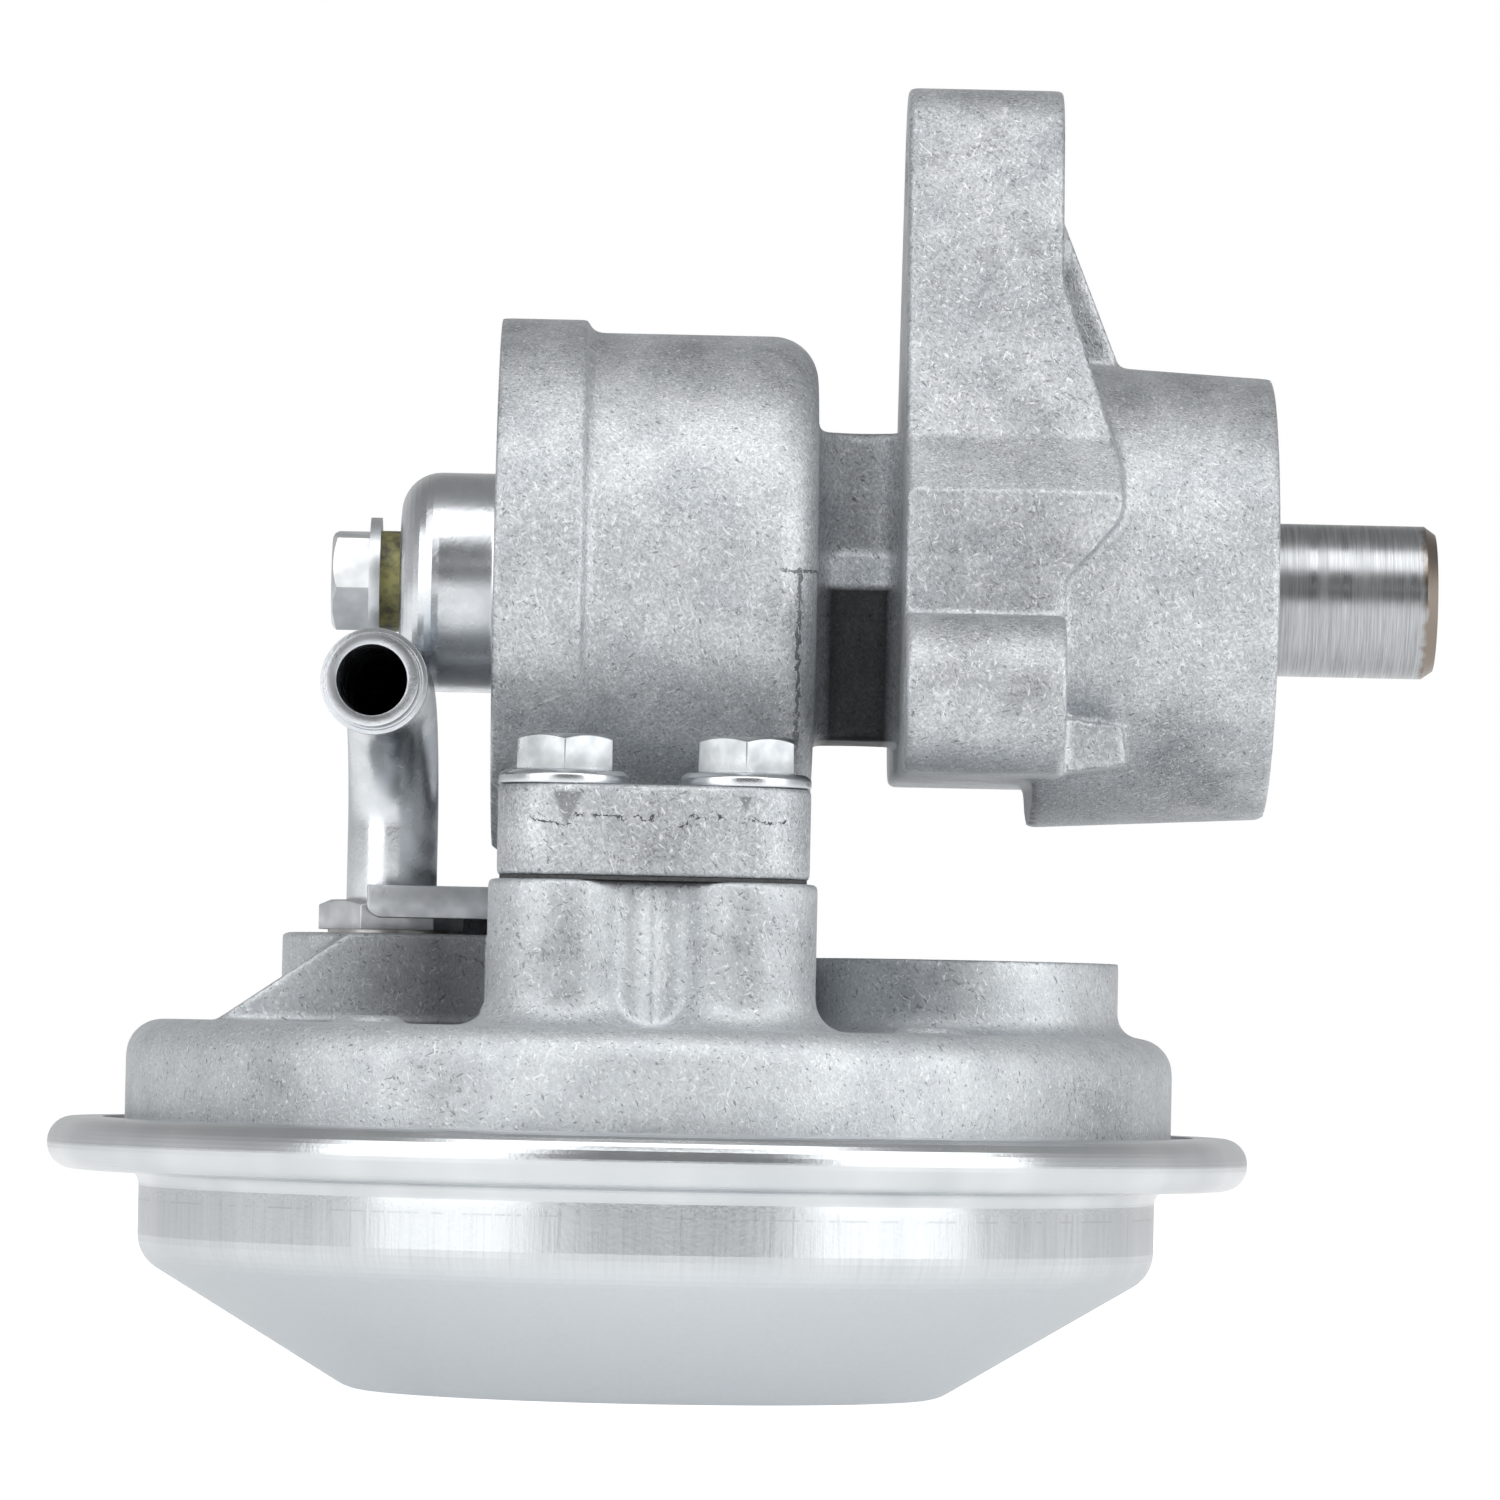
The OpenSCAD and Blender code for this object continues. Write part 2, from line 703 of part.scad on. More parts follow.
module main_housing() {
  color("lightgray") difference() {
    union() {
      case_shell();
      base_flange();
      difference() {
        neck();
        translate([(case_x + face_x) / 2, 0, axis_z]) neck_scoops();
      }
      bracket();
      nose();
    }
    // Crank chamber, the seat of the rear cover and the bore through the neck
    x_rod(chamber_r, -case_back - eps, chamber_x);
    x_rod(cover_seat_r, -case_back - eps, -case_back + cover_seat_depth);
    x_rod(neck_bore_r, 0, nose_x);
    // Seats of the lip seal and the two bearings, and the circlip groove
    x_rod(seal_r, seal_x0, nose_x);
    x_rod(rear_bearing_d / 2, rear_x0, nose_x);
    x_rod(front_bearing_d / 2, front_x0, nose_x + eps);
    x_rod(front_bearing_d / 2 + 1.25, front_x1, front_x1 + clip_t);
    // Rod passage, clamp bolt holes and the bracket's bolt holes
    translate([0, 0, base_z - eps]) cylinder(r = passage_r, h = axis_z - base_z);
    at_clamps() translate([0, 0, base_z - eps]) cylinder(r = clamp_d / 2 + 0.3, h = base_t + 2 * eps);
    x_rod(bracket_hole_d / 2, face_x - eps, face_x + boss_t + eps, axis_z + top_bolt_z);
    both_sides() translate([0, low_y, 0])
      x_rod(bracket_hole_d / 2, face_x - eps, face_x + boss_t + eps, axis_z + low_z);
  }
}

// Diaphragm housing

module pedestal_plan() {
  // Fillet circles that blend the pillars into the webs between them
  f = pillar_web;
  end_y = clamp_y + pillar_r - pillar_web;
  end_cx = clamp_x - sqrt(pow(pillar_r + f, 2) - pow(end_y + f - clamp_y, 2));
  touch_x = clamp_x - (clamp_x - end_cx) * pillar_r / (pillar_r + f);
  touch_y = clamp_y + (end_y + f - clamp_y) * pillar_r / (pillar_r + f);
  at_clamps_2d() circle(r = pillar_r);
  square([2 * waist_x, 2 * clamp_y], center = true);
  square([2 * clamp_x, 2 * clamp_y], center = true);
  for (sy = [-1, 1]) scale([1, sy]) difference() {
    translate([-touch_x, 0]) square([2 * touch_x, touch_y]);
    for (sx = [-1, 1]) translate([sx * end_cx, end_y + f]) circle(r = f);
  }
}

module at_clamps_2d() {
  for (sx = [-1, 1], sy = [-1, 1]) translate([sx * clamp_x, sy * clamp_y]) children();
}

module pedestal() {
  translate([0, 0, deck_z - eps]) linear_extrude(pedestal_h + eps) pedestal_plan();
  at_clamps() translate([0, 0, deck_z]) ring_fillet(pillar_r, foot_fillet);
  for (side = [0, 1]) mirror([side, 0, 0])
    translate([waist_x, -clamp_y, deck_z]) bar_fillet(2 * clamp_y, foot_fillet);
}

module inlet_ramp() {
  // Sloping web in front of the inlet boss, from the deck up to the boss's top
  top = inlet_boss_h;
  across_y(-14, -10, deck_z) polygon([
    [-inlet_x - ramp_len, -eps], [-inlet_x - ramp_len, 0], [-inlet_x - 4.2, top],
    [-waist_x + eps, top], [-waist_x + eps, -eps]
  ]);
  translate([-waist_x + eps, -14, deck_z]) rotate([0, 0, 90]) bar_fillet(inlet_x + 12 - waist_x, foot_fillet - 0.5);
}

module boss_shell() {
  rotate_extrude() difference() {
    union() {
      square([flange_r, flange_t]);
      square([wall_r, housing_h]);
      translate([wall_r, flange_t]) fillet_2d(1);
    }
    translate([wall_r, housing_h]) mirror([1, 0]) mirror([0, 1]) fillet_2d(4);
    translate([-eps, -eps]) square([cavity_r - 3 + eps, housing_h - deck_t + eps]);
    translate([0, -eps]) square([cavity_r, housing_h - deck_t - 3 + eps]);
    translate([cavity_r - 3, housing_h - deck_t - 3]) circle(r = 3);
  }
}

module lock_pad(h) {
  translate([-lock_screw_x, lock_screw_y, deck_z - eps]) cylinder(r = 5, h = h + eps);
}

module diaphragm_housing() {
  color("lightgray") difference() {
    union() {
      translate([0, 0, flange_z]) boss_shell();
      pedestal();
      inlet_ramp();
      translate([-inlet_x, 0, deck_z - eps]) cylinder(r = inlet_boss_r, h = inlet_boss_h + eps);
      translate([-inlet_x, 0, deck_z]) ring_fillet(inlet_boss_r, 2);
      translate([outlet_x, 0, deck_z - eps]) cylinder(r = outlet_boss_r, h = outlet_boss_h + eps);
      translate([outlet_x, 0, deck_z]) ring_fillet(outlet_boss_r, foot_fillet - 1);
      lock_pad(lock_z + lock_h - lock_t - deck_z);
      for (sx = [-1, 1]) translate([sx * pad_x, -pad_y, deck_z - eps]) cylinder(r = pad_r, h = pad_h + eps);
    }
    // Rod passage with the boot's seat, and the clamp bolts' threads
    translate([0, 0, roof_z - eps]) cylinder(r = passage_r, h = pedestal_h + deck_t + 2 * eps);
    translate([0, 0, boot_seat_z]) cylinder(r = boot_seat_r, h = pedestal_z - boot_seat_z + eps);
    at_clamps() translate([0, 0, pedestal_z - clamp_thread])
      cylinder(r = clamp_d / 2 + snug, h = clamp_thread + eps);
    // Inlet: the thread from above and the valve pocket from below
    translate([-inlet_x, 0, roof_z - eps]) cylinder(r = valve_r, h = inlet_pocket_z - roof_z + eps);
    translate([-inlet_x, 0, roof_z]) cylinder(r = fitting_thread_r + snug, h = inlet_top_z - roof_z + eps);
    // Outlet: the port, the valve pocket and the filter's well
    translate([outlet_x, 0, roof_z - eps]) cylinder(r = port_r, h = deck_t);
    translate([outlet_x, 0, outlet_seat_z]) cylinder(r = valve_r, h = outlet_top_z - outlet_seat_z);
    translate([outlet_x, 0, outlet_well_z]) cylinder(r = outlet_well_r, h = outlet_top_z - outlet_well_z + eps);
    translate([-lock_screw_x, lock_screw_y, deck_z + 1]) cylinder(r = lock_screw_r + snug, h = pedestal_h);
  }
}

module base_gasket() {
  color("dimgray") translate([0, 0, pedestal_z]) difference() {
    linear_extrude(gasket_t) rounded_plan(base_w - 0.6, base_len - 0.6, base_corner_r - 0.3);
    translate([0, 0, -eps]) cylinder(r = passage_r, h = gasket_t + 2 * eps);
    at_clamps() translate([0, 0, -eps]) cylinder(r = clamp_d / 2 + 0.3, h = gasket_t + 2 * eps);
  }
}

module clamp_bolts() {
  shank = clamp_washer_t + base_t + gasket_t + clamp_thread - 1;
  color("silver") at_clamps() translate([0, 0, ear_z + clamp_washer_t]) {
    rotate([0, 0, 30]) hex_head(clamp_flats, clamp_head_h);
    translate([0, 0, -shank]) cylinder(r = clamp_d / 2, h = shank);
  }
}

module clamp_washers() {
  color("silver") at_clamps() translate([0, 0, ear_z]) difference() {
    union() {
      cylinder(r = clamp_washer_r, h = clamp_washer_t - 0.5);
      translate([0, 0, clamp_washer_t - 0.5]) cylinder(r1 = clamp_washer_r, r2 = clamp_washer_r - 0.7, h = 0.5);
    }
    translate([0, 0, -eps]) cylinder(r = clamp_d / 2 + 0.2, h = clamp_washer_t + 2 * eps);
  }
}

// Lower can with its rim rolled over the housing's flange

module lower_cover() {
  color("gainsboro") rotate_extrude() sheet_section(
    [
      [0, 0], [flat_r, 0], [can_r, cone_h], [can_r, rim_z],
      [rim_r, rim_z], [rim_r, rim_z + rim_h], [lip_r, rim_z + rim_h]
    ],
    can_t, [4, 3.6, 2.4, rim_bend_r, rim_bend_r]
  );
}

// Rear cover with its plug

module rear_cover() {
  skirt = cover_seat_depth - cover_in - 0.2;
  color("silver") against_x(-case_back) rotate_extrude() sheet_section(
    [
      [cover_seat_r - snug, -cover_in - skirt], [cover_seat_r - snug, -cover_in], [dome_r, -cover_in],
      [dome_r, dome_len], [plug_d / 2 + 0.2, dome_len]
    ],
    cover_t, [1.2, 1.6, 3.8]
  );
}

module plug_seal() {
  color("darkkhaki") against_x(-case_back - dome_len) ring(plug_d / 2 + 0.1, 5.6, plug_seal_t);
}

module plug_bolt() {
  grip = plug_seal_t + cover_t + plug_nut_h + 1;
  color("silver") against_x(-case_back - dome_len - plug_seal_t) {
    cylinder(r = plug_flange_r, h = plug_flange_t);
    translate([0, 0, plug_flange_t]) rotate([0, 0, 20]) hex_head(clamp_flats, plug_head_h);
    translate([0, 0, -grip]) cylinder(r = plug_d / 2, h = grip + eps);
  }
}

module plug_nut() {
  color("gray") against_x(-case_back - dome_len + cover_t) mirror([0, 0, 1]) difference() {
    linear_extrude(plug_nut_h) hexagon(clamp_flats);
    translate([0, 0, -eps]) cylinder(r = plug_d / 2 + snug, h = plug_nut_h + 2 * eps);
  }
}

// Shaft and its two bearings

module front_outer_race() {
  color("silver") along_x(front_x0) outer_race(shaft_r, front_bearing_d / 2 - snug, front_bearing_w);
}

module front_inner_race() {
  color("silver") along_x(front_x0) inner_race(shaft_r + snug, front_bearing_d / 2, front_bearing_w);
}

module front_balls() {
  color("white") along_x(front_x0) ball_set(shaft_r, front_bearing_d / 2, front_bearing_w, 8);
}

module front_cage() {
  color("goldenrod") along_x(front_x0) ball_cage(shaft_r, front_bearing_d / 2, front_bearing_w, 8);
}

module front_shields() {
  color("darkgray") along_x(front_x0) shield_pair(shaft_r, front_bearing_d / 2, front_bearing_w);
}

module rear_outer_race() {
  color("silver") along_x(rear_x0) outer_race(shaft_r, rear_bearing_d / 2 - snug, rear_bearing_w);
}

module rear_inner_race() {
  color("silver") along_x(rear_x0) inner_race(shaft_r + snug, rear_bearing_d / 2, rear_bearing_w);
}

module rear_balls() {
  color("white") along_x(rear_x0) ball_set(shaft_r, rear_bearing_d / 2, rear_bearing_w, 10);
}

module rear_cage() {
  color("goldenrod") along_x(rear_x0) ball_cage(shaft_r, rear_bearing_d / 2, rear_bearing_w, 10);
}

module rear_shields() {
  color("darkgray") along_x(rear_x0) shield_pair(shaft_r, rear_bearing_d / 2, rear_bearing_w);
}

module bearing_spacer() {
  color("gray") x_ring(shaft_r + snug, shaft_r + 2.2, rear_x1, front_x0);
}

// Round spring clip with an open gap, its lugs drilled for pliers.
module open_clip(r_in, r_out, t, lug_r, lug_at) {
  linear_extrude(t) difference() {
    union() {
      circle(r = r_out);
      for (a = [-18, 18]) rotate(a) translate([lug_at, 0]) circle(r = lug_r);
    }
    difference() {
      circle(r = r_in);
      for (a = [-18, 18]) rotate(a) translate([lug_at, 0]) circle(r = lug_r);
    }
    polygon([[0, 0], 2 * r_out * [cos(-10), sin(-10)], 2 * r_out * [cos(10), sin(10)]]);
    for (a = [-18, 18]) rotate(a) translate([lug_at, 0]) circle(r = lug_r * 0.42);
  }
}

module nose_circlip() {
  r = front_bearing_d / 2;
  color("dimgray") along_x(front_x1) rotate([0, 0, 180])
    open_clip(r - 2.2, r + 1.1, clip_t - 0.05, 2.2, r - 3);
}

module shaft_circlip() {
  color("dimgray") along_x(front_x1) rotate([0, 0, 180])
    open_clip(shaft_r - 0.4 + snug, shaft_r + 1.9, shaft_clip_t, 1.3, shaft_r + 2);
}

module shaft_seal() {
  color("saddlebrown") along_x(seal_x0) rotate_extrude() difference() {
    translate([shaft_r + run, 0]) square([seal_section - run - snug, seal_w]);
    translate([shaft_r + 1, -eps]) square([seal_section - 2.4, seal_w - 1.4 + eps]);
    translate([shaft_r + run - eps, -eps]) square([0.6 + eps, 1 + eps]);
  }
}

module drive_shaft() {
  color("silver") difference() {
    along_x(web_x1) rotate_extrude() difference() {
      polygon([
        [0, 0], [shaft_r, 0], [shaft_r, shaft_end_x - web_x1 - shaft_chamfer],
        [shaft_r - shaft_chamfer * 0.7, shaft_end_x - web_x1], [0, shaft_end_x - web_x1]
      ]);
      // Groove of the shaft's circlip and the grinding relief at the nose
      translate([shaft_r - 0.4, front_x1 - web_x1]) square([2, shaft_clip_t + 0.1]);
      translate([shaft_r - relief_depth, nose_x - web_x1 - relief_w]) square([2, relief_w]);
    }
  }
  color("silver") x_rod(spigot_r, web_x1 - spigot_len, web_x1 + eps);
}

// Crank and its pin

module weight_outline() {
  circle(r = spigot_r + 4);
  difference() {
    circle(r = weight_r);
    translate([-2 * weight_r, -4 * weight_r + 2]) square(4 * weight_r);
  }
}

module crank() {
  color("slategray") difference() {
    union() {
      across_x(web_x0, web_x1) weight_outline();
      x_rod(pin_r + 1.6, big_x, web_x0 + eps, pin_z);
      x_rod(pin_r, pin_tip_x, big_x + eps, pin_z);
    }
    x_rod(spigot_r + snug, web_x1 - spigot_len, web_x1 + eps);
    x_ring(pin_r - 0.5, pin_r + 1, -big_x - pin_clip_t - 0.1, -big_x, pin_z);
  }
}

module crank_circlip() {
  color("dimgray") along_x(-big_x - pin_clip_t, pin_z) rotate([0, 0, 180])
    open_clip(pin_r - 0.5 + snug, pin_r + 1.8, pin_clip_t, 1.2, pin_r + 1.8);
}

module big_end_outer_race() {
  color("silver") along_x(-big_x, pin_z) outer_race(pin_r, big_bearing_d / 2 - snug, big_bearing_w);
}

module big_end_inner_race() {
  color("silver") along_x(-big_x, pin_z) inner_race(pin_r + snug, big_bearing_d / 2, big_bearing_w);
}

module big_end_balls() {
  color("white") along_x(-big_x, pin_z) ball_set(pin_r, big_bearing_d / 2, big_bearing_w, 7);
}

module big_end_cage() {
  color("goldenrod") along_x(-big_x, pin_z) ball_cage(pin_r, big_bearing_d / 2, big_bearing_w, 7);
}

// Connecting rod and the diaphragm it drives

module connecting_rod() {
  shank_r = shank_d / 2;
  blade_z = eye_r + 2;
  color("gainsboro") difference() {
    union() {
      x_rod(eye_r, -big_x, big_x, pin_z);
      across_x(-3.5, 3.5) translate([0, -crank_throw]) polygon([
        [-shank_r - 0.5, -blade_z - 8], [shank_r + 0.5, -blade_z - 8],
        [eye_r * 0.62, -eye_r * 0.7], [-eye_r * 0.62, -eye_r * 0.7]
      ]);
      translate([0, 0, foot_z]) cylinder(r = shank_r, h = pin_z - eye_r - foot_z - 1);
      translate([0, 0, foot_z]) cylinder(r = foot_r - snug, h = foot_t);
    }
    x_rod(big_bearing_d / 2, -big_x - eps, big_x + eps, pin_z);
    translate([0, 0, foot_z - eps]) cylinder(r = screw_r + snug, h = screw_grip + 4);
  }
}

module upper_plate() {
  z0 = clamp_z + skin_t;
  color("silver") difference() {
    translate([0, 0, z0]) rotate_extrude() difference() {
      square([plate_r, up_plate_t]);
      translate([plate_r, 0]) mirror([1, 0]) fillet_2d(1.5);
      translate([plate_r, up_plate_t]) mirror([1, 0]) mirror([0, 1]) fillet_2d(2);
      // Shallow ring recess that lightens the plate
      translate([foot_r + 4, up_plate_t - 1.5]) square([plate_r - foot_r - 9, 2]);
    }
    translate([0, 0, foot_z]) cylinder(r = foot_r, h = foot_t + eps);
    translate([0, 0, z0 - eps]) cylinder(r = screw_r + 0.2, h = up_plate_t);
  }
}

module lower_plate() {
  z0 = clamp_z - low_plate_t;
  color("silver") difference() {
    rotate_extrude() sheet_section(
      [[plate_r, z0 - 2.5], [plate_r, z0 + low_plate_t], [screw_r + 0.2, z0 + low_plate_t]],
      low_plate_t, [2]
    );
  }
}

module screw_washer() {
  color("silver") translate([0, 0, clamp_z - low_plate_t - screw_washer_t])
    ring(screw_r + 0.2, screw_washer_r, screw_washer_t);
}

module diaphragm_screw() {
  z0 = clamp_z - low_plate_t - screw_washer_t;
  color("silver") {
    translate([0, 0, z0]) mirror([0, 0, 1]) hex_head(clamp_flats, screw_head_h);
    translate([0, 0, z0 - eps]) cylinder(r = screw_r, h = foot_z - z0 + screw_grip);
  }
}

module diaphragm() {
  fold = plate_r + 3;
  fold_out = cavity_r - 1.8;
  fold_z = skin_z + 4.9;
  color("black") rotate_extrude() sheet_section(
    [
      [screw_r + 0.3, clamp_z], [fold, clamp_z], [fold + 2.2, fold_z],
      [fold_out - 2.4, fold_z], [fold_out, skin_z], [flange_r, skin_z]
    ],
    skin_t, [1.4, 1.2, 1.2, 1.4]
  );
}

module rod_boot() {
  neck_r = shank_d / 2 + run;
  low = boot_seat_z - boot_drop;
  color("black") rotate_extrude() {
    sheet_section(
      [
        [neck_r + 1.6, boot_seat_z - 0.5], [neck_r + 1.6, low],
        [passage_r - 1.6, low], [passage_r - 1.6, boot_seat_z], [boot_seat_r - snug, boot_seat_z]
      ],
      boot_flange_t, [1, 1, 1.2]
    );
    translate([neck_r, boot_seat_z - 3]) square([2, 2.5]);
  }
}

module boot_ring() {
  color("silver") translate([0, 0, pedestal_z - boot_ring_t])
    ring(passage_r - 1, boot_seat_r - snug, boot_ring_t);
}

// Inlet

module at_inlet() {
  translate([-inlet_x, 0, 0]) children();
}

module inlet_washer() {
  color("peru") at_inlet() translate([0, 0, inlet_top_z]) ring(fitting_thread_r + 0.1, fitting_flats / 2, fitting_washer_t);
}

module inlet_fitting() {
  color("silver") at_inlet() difference() {
    union() {
      translate([0, 0, fitting_z]) rotate([0, 0, 7]) hex_head(fitting_flats, fitting_h);
      translate([0, 0, inlet_top_z - fitting_thread_len])
        cylinder(r = fitting_thread_r, h = fitting_thread_len + fitting_washer_t + eps);
    }
    translate([0, 0, fitting_z - 1]) cylinder(r = tube_r + snug, h = fitting_h + 2);
    translate([0, 0, inlet_top_z - fitting_thread_len - eps])
      cylinder(r = tube_r - tube_wall, h = fitting_thread_len + 2);
  }
}

module tube_run(r, past = 0) {
  start = fitting_z - 1;
  rise = tube_z - tube_bend_r - start;
  translate([0, 0, start - past]) cylinder(r = r, h = rise + past);
  translate([0, -tube_bend_r, tube_z - tube_bend_r]) rotate([90, 0, 90])
    rotate_extrude(angle = 90) translate([tube_bend_r, 0]) circle(r = r);
  translate([0, -tube_bend_r, tube_z]) rotate([90, 0, 0])
    cylinder(r = r, h = tube_reach - tube_bend_r + past);
}

module inlet_tube() {
  color("silver") at_inlet() rotate([0, 0, -tube_turn]) difference() {
    union() {
      tube_run(tube_r);
      // Rolled bead that holds the hose
      translate([0, -tube_reach + bead_back, tube_z]) rotate([-90, 0, 0]) rotate_extrude()
        translate([tube_r - 1, 0]) union() {
          square([bead_r - tube_r + 1 - 0.5, bead_w]);
          translate([0, 0.5]) square([bead_r - tube_r + 1, bead_w - 1]);
        }
    }
    tube_run(tube_r - tube_wall, eps);
  }
}

// Bent plate that keeps the fitting from turning, and its screw

module lock_plate() {
  left = -inlet_x - 2.4;
  right = -waist_x - 0.4;
  top = lock_z + lock_h;
  color("gray") difference() {
    union() {
      translate([left, lock_y0, top - lock_t]) cube([right - left, lock_screw_y + 6 - lock_y0, lock_t]);
      across_y(lock_y0, lock_y0 + lock_t, lock_z) translate([left, 0]) difference() {
        square([right - left, lock_h]);
        fillet_2d(1.6);
      }
    }
    // Fork round the tube above the hexagon
    at_inlet() translate([0, 0, lock_z - eps]) cylinder(r = tube_r + 0.5, h = lock_h + 2 * eps);
    translate([left - eps, -tube_r - 0.5, lock_z - eps])
      cube([-inlet_x - left + eps, 2 * tube_r + 1, lock_h + 2 * eps]);
    at_inlet() translate([-20, 8.6, lock_z - eps]) cube([20 + 2.5, 30, lock_h + 2 * eps]);
    translate([-lock_screw_x, lock_screw_y, top - lock_t])
      cylinder(r1 = lock_screw_r + run, r2 = lock_head_r + run, h = lock_t);
  }
}

module lock_plate_screw() {
  color("silver") translate([-lock_screw_x, lock_screw_y, lock_z + lock_h - lock_t]) difference() {
    union() {
      cylinder(r1 = lock_screw_r, r2 = lock_head_r, h = lock_t);
      translate([0, 0, -lock_screw_len]) cylinder(r = lock_screw_r, h = lock_screw_len + eps);
    }
    translate([-lock_head_r - eps, -0.5, lock_t - 0.7]) cube([2 * (lock_head_r + eps), 1, 0.7 + eps]);
  }
}

// Check valves: the inlet's opens down into the chamber, the outlet's opens up out of it

module valve_seat() {
  ring(port_r, valve_r - snug, valve_seat_t);
}

module valve_disc() {
  color("black") cylinder(r = disc_r, h = valve_disc_t);
}

module valve_spring() {
  color("silver") translate([0, 0, run])
    coil_spring(disc_r - 2, spring_wire, spring_len - 2 * run, spring_turns);
}

module valve_cage() {
  difference() {
    cylinder(r = valve_r - snug, h = valve_cage_t);
    for (i = [0:5]) rotate([0, 0, 60 * i]) translate([disc_r - 1, 0, -eps])
      cylinder(r = 1.5, h = valve_cage_t + 2 * eps);
  }
}

module inlet_valve_seat() {
  color("goldenrod") at_inlet() translate([0, 0, inlet_seat_z]) valve_seat();
}

module inlet_valve_disc() {
  at_inlet() translate([0, 0, inlet_disc_z]) valve_disc();
}

module inlet_valve_spring() {
  at_inlet() translate([0, 0, inlet_cage_z + valve_cage_t]) valve_spring();
}

module inlet_valve_cage() {
  color("goldenrod") at_inlet() translate([0, 0, inlet_cage_z]) valve_cage();
}

module outlet_valve_seat() {
  color("goldenrod") translate([outlet_x, 0, outlet_seat_z]) valve_seat();
}

module outlet_valve_disc() {
  translate([outlet_x, 0, outlet_disc_z]) valve_disc();
}

module outlet_valve_spring() {
  translate([outlet_x, 0, outlet_disc_z + valve_disc_t]) valve_spring();
}

module outlet_valve_cage() {
  color("goldenrod") translate([outlet_x, 0, outlet_cage_z]) valve_cage();
}

module outlet_filter() {
  h = outlet_top_z - outlet_cap_t - outlet_well_z;
  color("darkslategray") translate([outlet_x, 0, outlet_well_z]) cylinder(r = outlet_well_r - 0.3, h = h);
}

module outlet_cap() {
  color("silver") translate([outlet_x, 0, outlet_top_z - outlet_cap_t]) difference() {
    cylinder(r = outlet_well_r - snug, h = outlet_cap_t);
    for (i = [0:11]) rotate([0, 0, 30 * i]) translate([outlet_well_r * 0.7, 0, -eps])
      cylinder(r = 1.3, h = outlet_cap_t + 2 * eps);
    for (i = [0:5]) rotate([0, 0, 60 * i]) translate([outlet_well_r * 0.36, 0, -eps])
      cylinder(r = 1.3, h = outlet_cap_t + 2 * eps);
  }
}

main_housing();
diaphragm_housing();
lower_cover();
base_gasket();
clamp_bolts();
clamp_washers();
rear_cover();
plug_bolt();
plug_seal();
plug_nut();
front_outer_race();
front_inner_race();
front_balls();
front_cage();
front_shields();
rear_outer_race();
rear_inner_race();
rear_balls();
rear_cage();
rear_shields();
bearing_spacer();
nose_circlip();
shaft_circlip();
shaft_seal();
drive_shaft();
crank();
crank_circlip();
big_end_outer_race();
big_end_inner_race();
big_end_balls();
big_end_cage();
connecting_rod();
upper_plate();
lower_plate();
diaphragm_screw();
screw_washer();
diaphragm();
rod_boot();
boot_ring();
inlet_fitting();
inlet_washer();
inlet_tube();
lock_plate();
lock_plate_screw();
inlet_valve_seat();
inlet_valve_disc();
inlet_valve_spring();
inlet_valve_cage();
outlet_valve_seat();
outlet_valve_disc();
outlet_valve_spring();
outlet_valve_cage();
outlet_filter();
outlet_cap();
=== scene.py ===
# %% [markdown]
# # An engine vacuum pump
# A drawn steel can and a die cast aluminium housing hold a rubber diaphragm between them. A crank
# in the casting above pumps it, turned by the ground shaft on the right. The solids come from the
# CAD model in their exact places, so this script never moves them: it gives them their surfaces,
# and makes finer pieces where the plain solid is not enough.

# %% Load the frame
import json
import math
import bmesh
import bpy
from mathutils import Matrix, Vector


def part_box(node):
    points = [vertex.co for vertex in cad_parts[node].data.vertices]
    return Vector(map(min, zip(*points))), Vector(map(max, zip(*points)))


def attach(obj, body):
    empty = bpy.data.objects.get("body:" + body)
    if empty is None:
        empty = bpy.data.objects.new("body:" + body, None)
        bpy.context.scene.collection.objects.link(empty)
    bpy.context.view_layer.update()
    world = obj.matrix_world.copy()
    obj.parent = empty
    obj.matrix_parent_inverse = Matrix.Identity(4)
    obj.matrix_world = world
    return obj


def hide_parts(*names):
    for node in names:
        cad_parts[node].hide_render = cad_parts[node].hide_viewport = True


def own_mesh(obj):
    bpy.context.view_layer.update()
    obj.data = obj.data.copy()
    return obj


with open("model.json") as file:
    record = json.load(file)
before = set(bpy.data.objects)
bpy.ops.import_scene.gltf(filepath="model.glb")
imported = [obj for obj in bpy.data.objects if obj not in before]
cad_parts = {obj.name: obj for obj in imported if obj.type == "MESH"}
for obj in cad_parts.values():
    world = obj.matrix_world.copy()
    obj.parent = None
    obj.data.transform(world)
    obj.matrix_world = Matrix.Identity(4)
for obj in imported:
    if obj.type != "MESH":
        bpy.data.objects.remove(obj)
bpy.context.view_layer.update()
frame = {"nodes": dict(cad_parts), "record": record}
nodes = frame["nodes"]
MM = 0.001

# %% [markdown]
# ## The camera
# Product pictures of small castings are taken from far away with a long lens, so that near and far
# edges almost line up. A point of the picture and the ratio of near to far sizes fix where the lens
# stood: about a metre away, at the height of the housing's deck. The picture leans by a degree.

# %% Place the camera
PICTURE_PIXELS = 1500
PIXELS_PER_MM = 9.0
DISTANCE = 1050 * MM
LENS_HEIGHT = 40.8 * MM
LEAN = math.radians(1.2)
AIM_RIGHT, AIM_UP = 100, 275
SENSOR_MM = 36

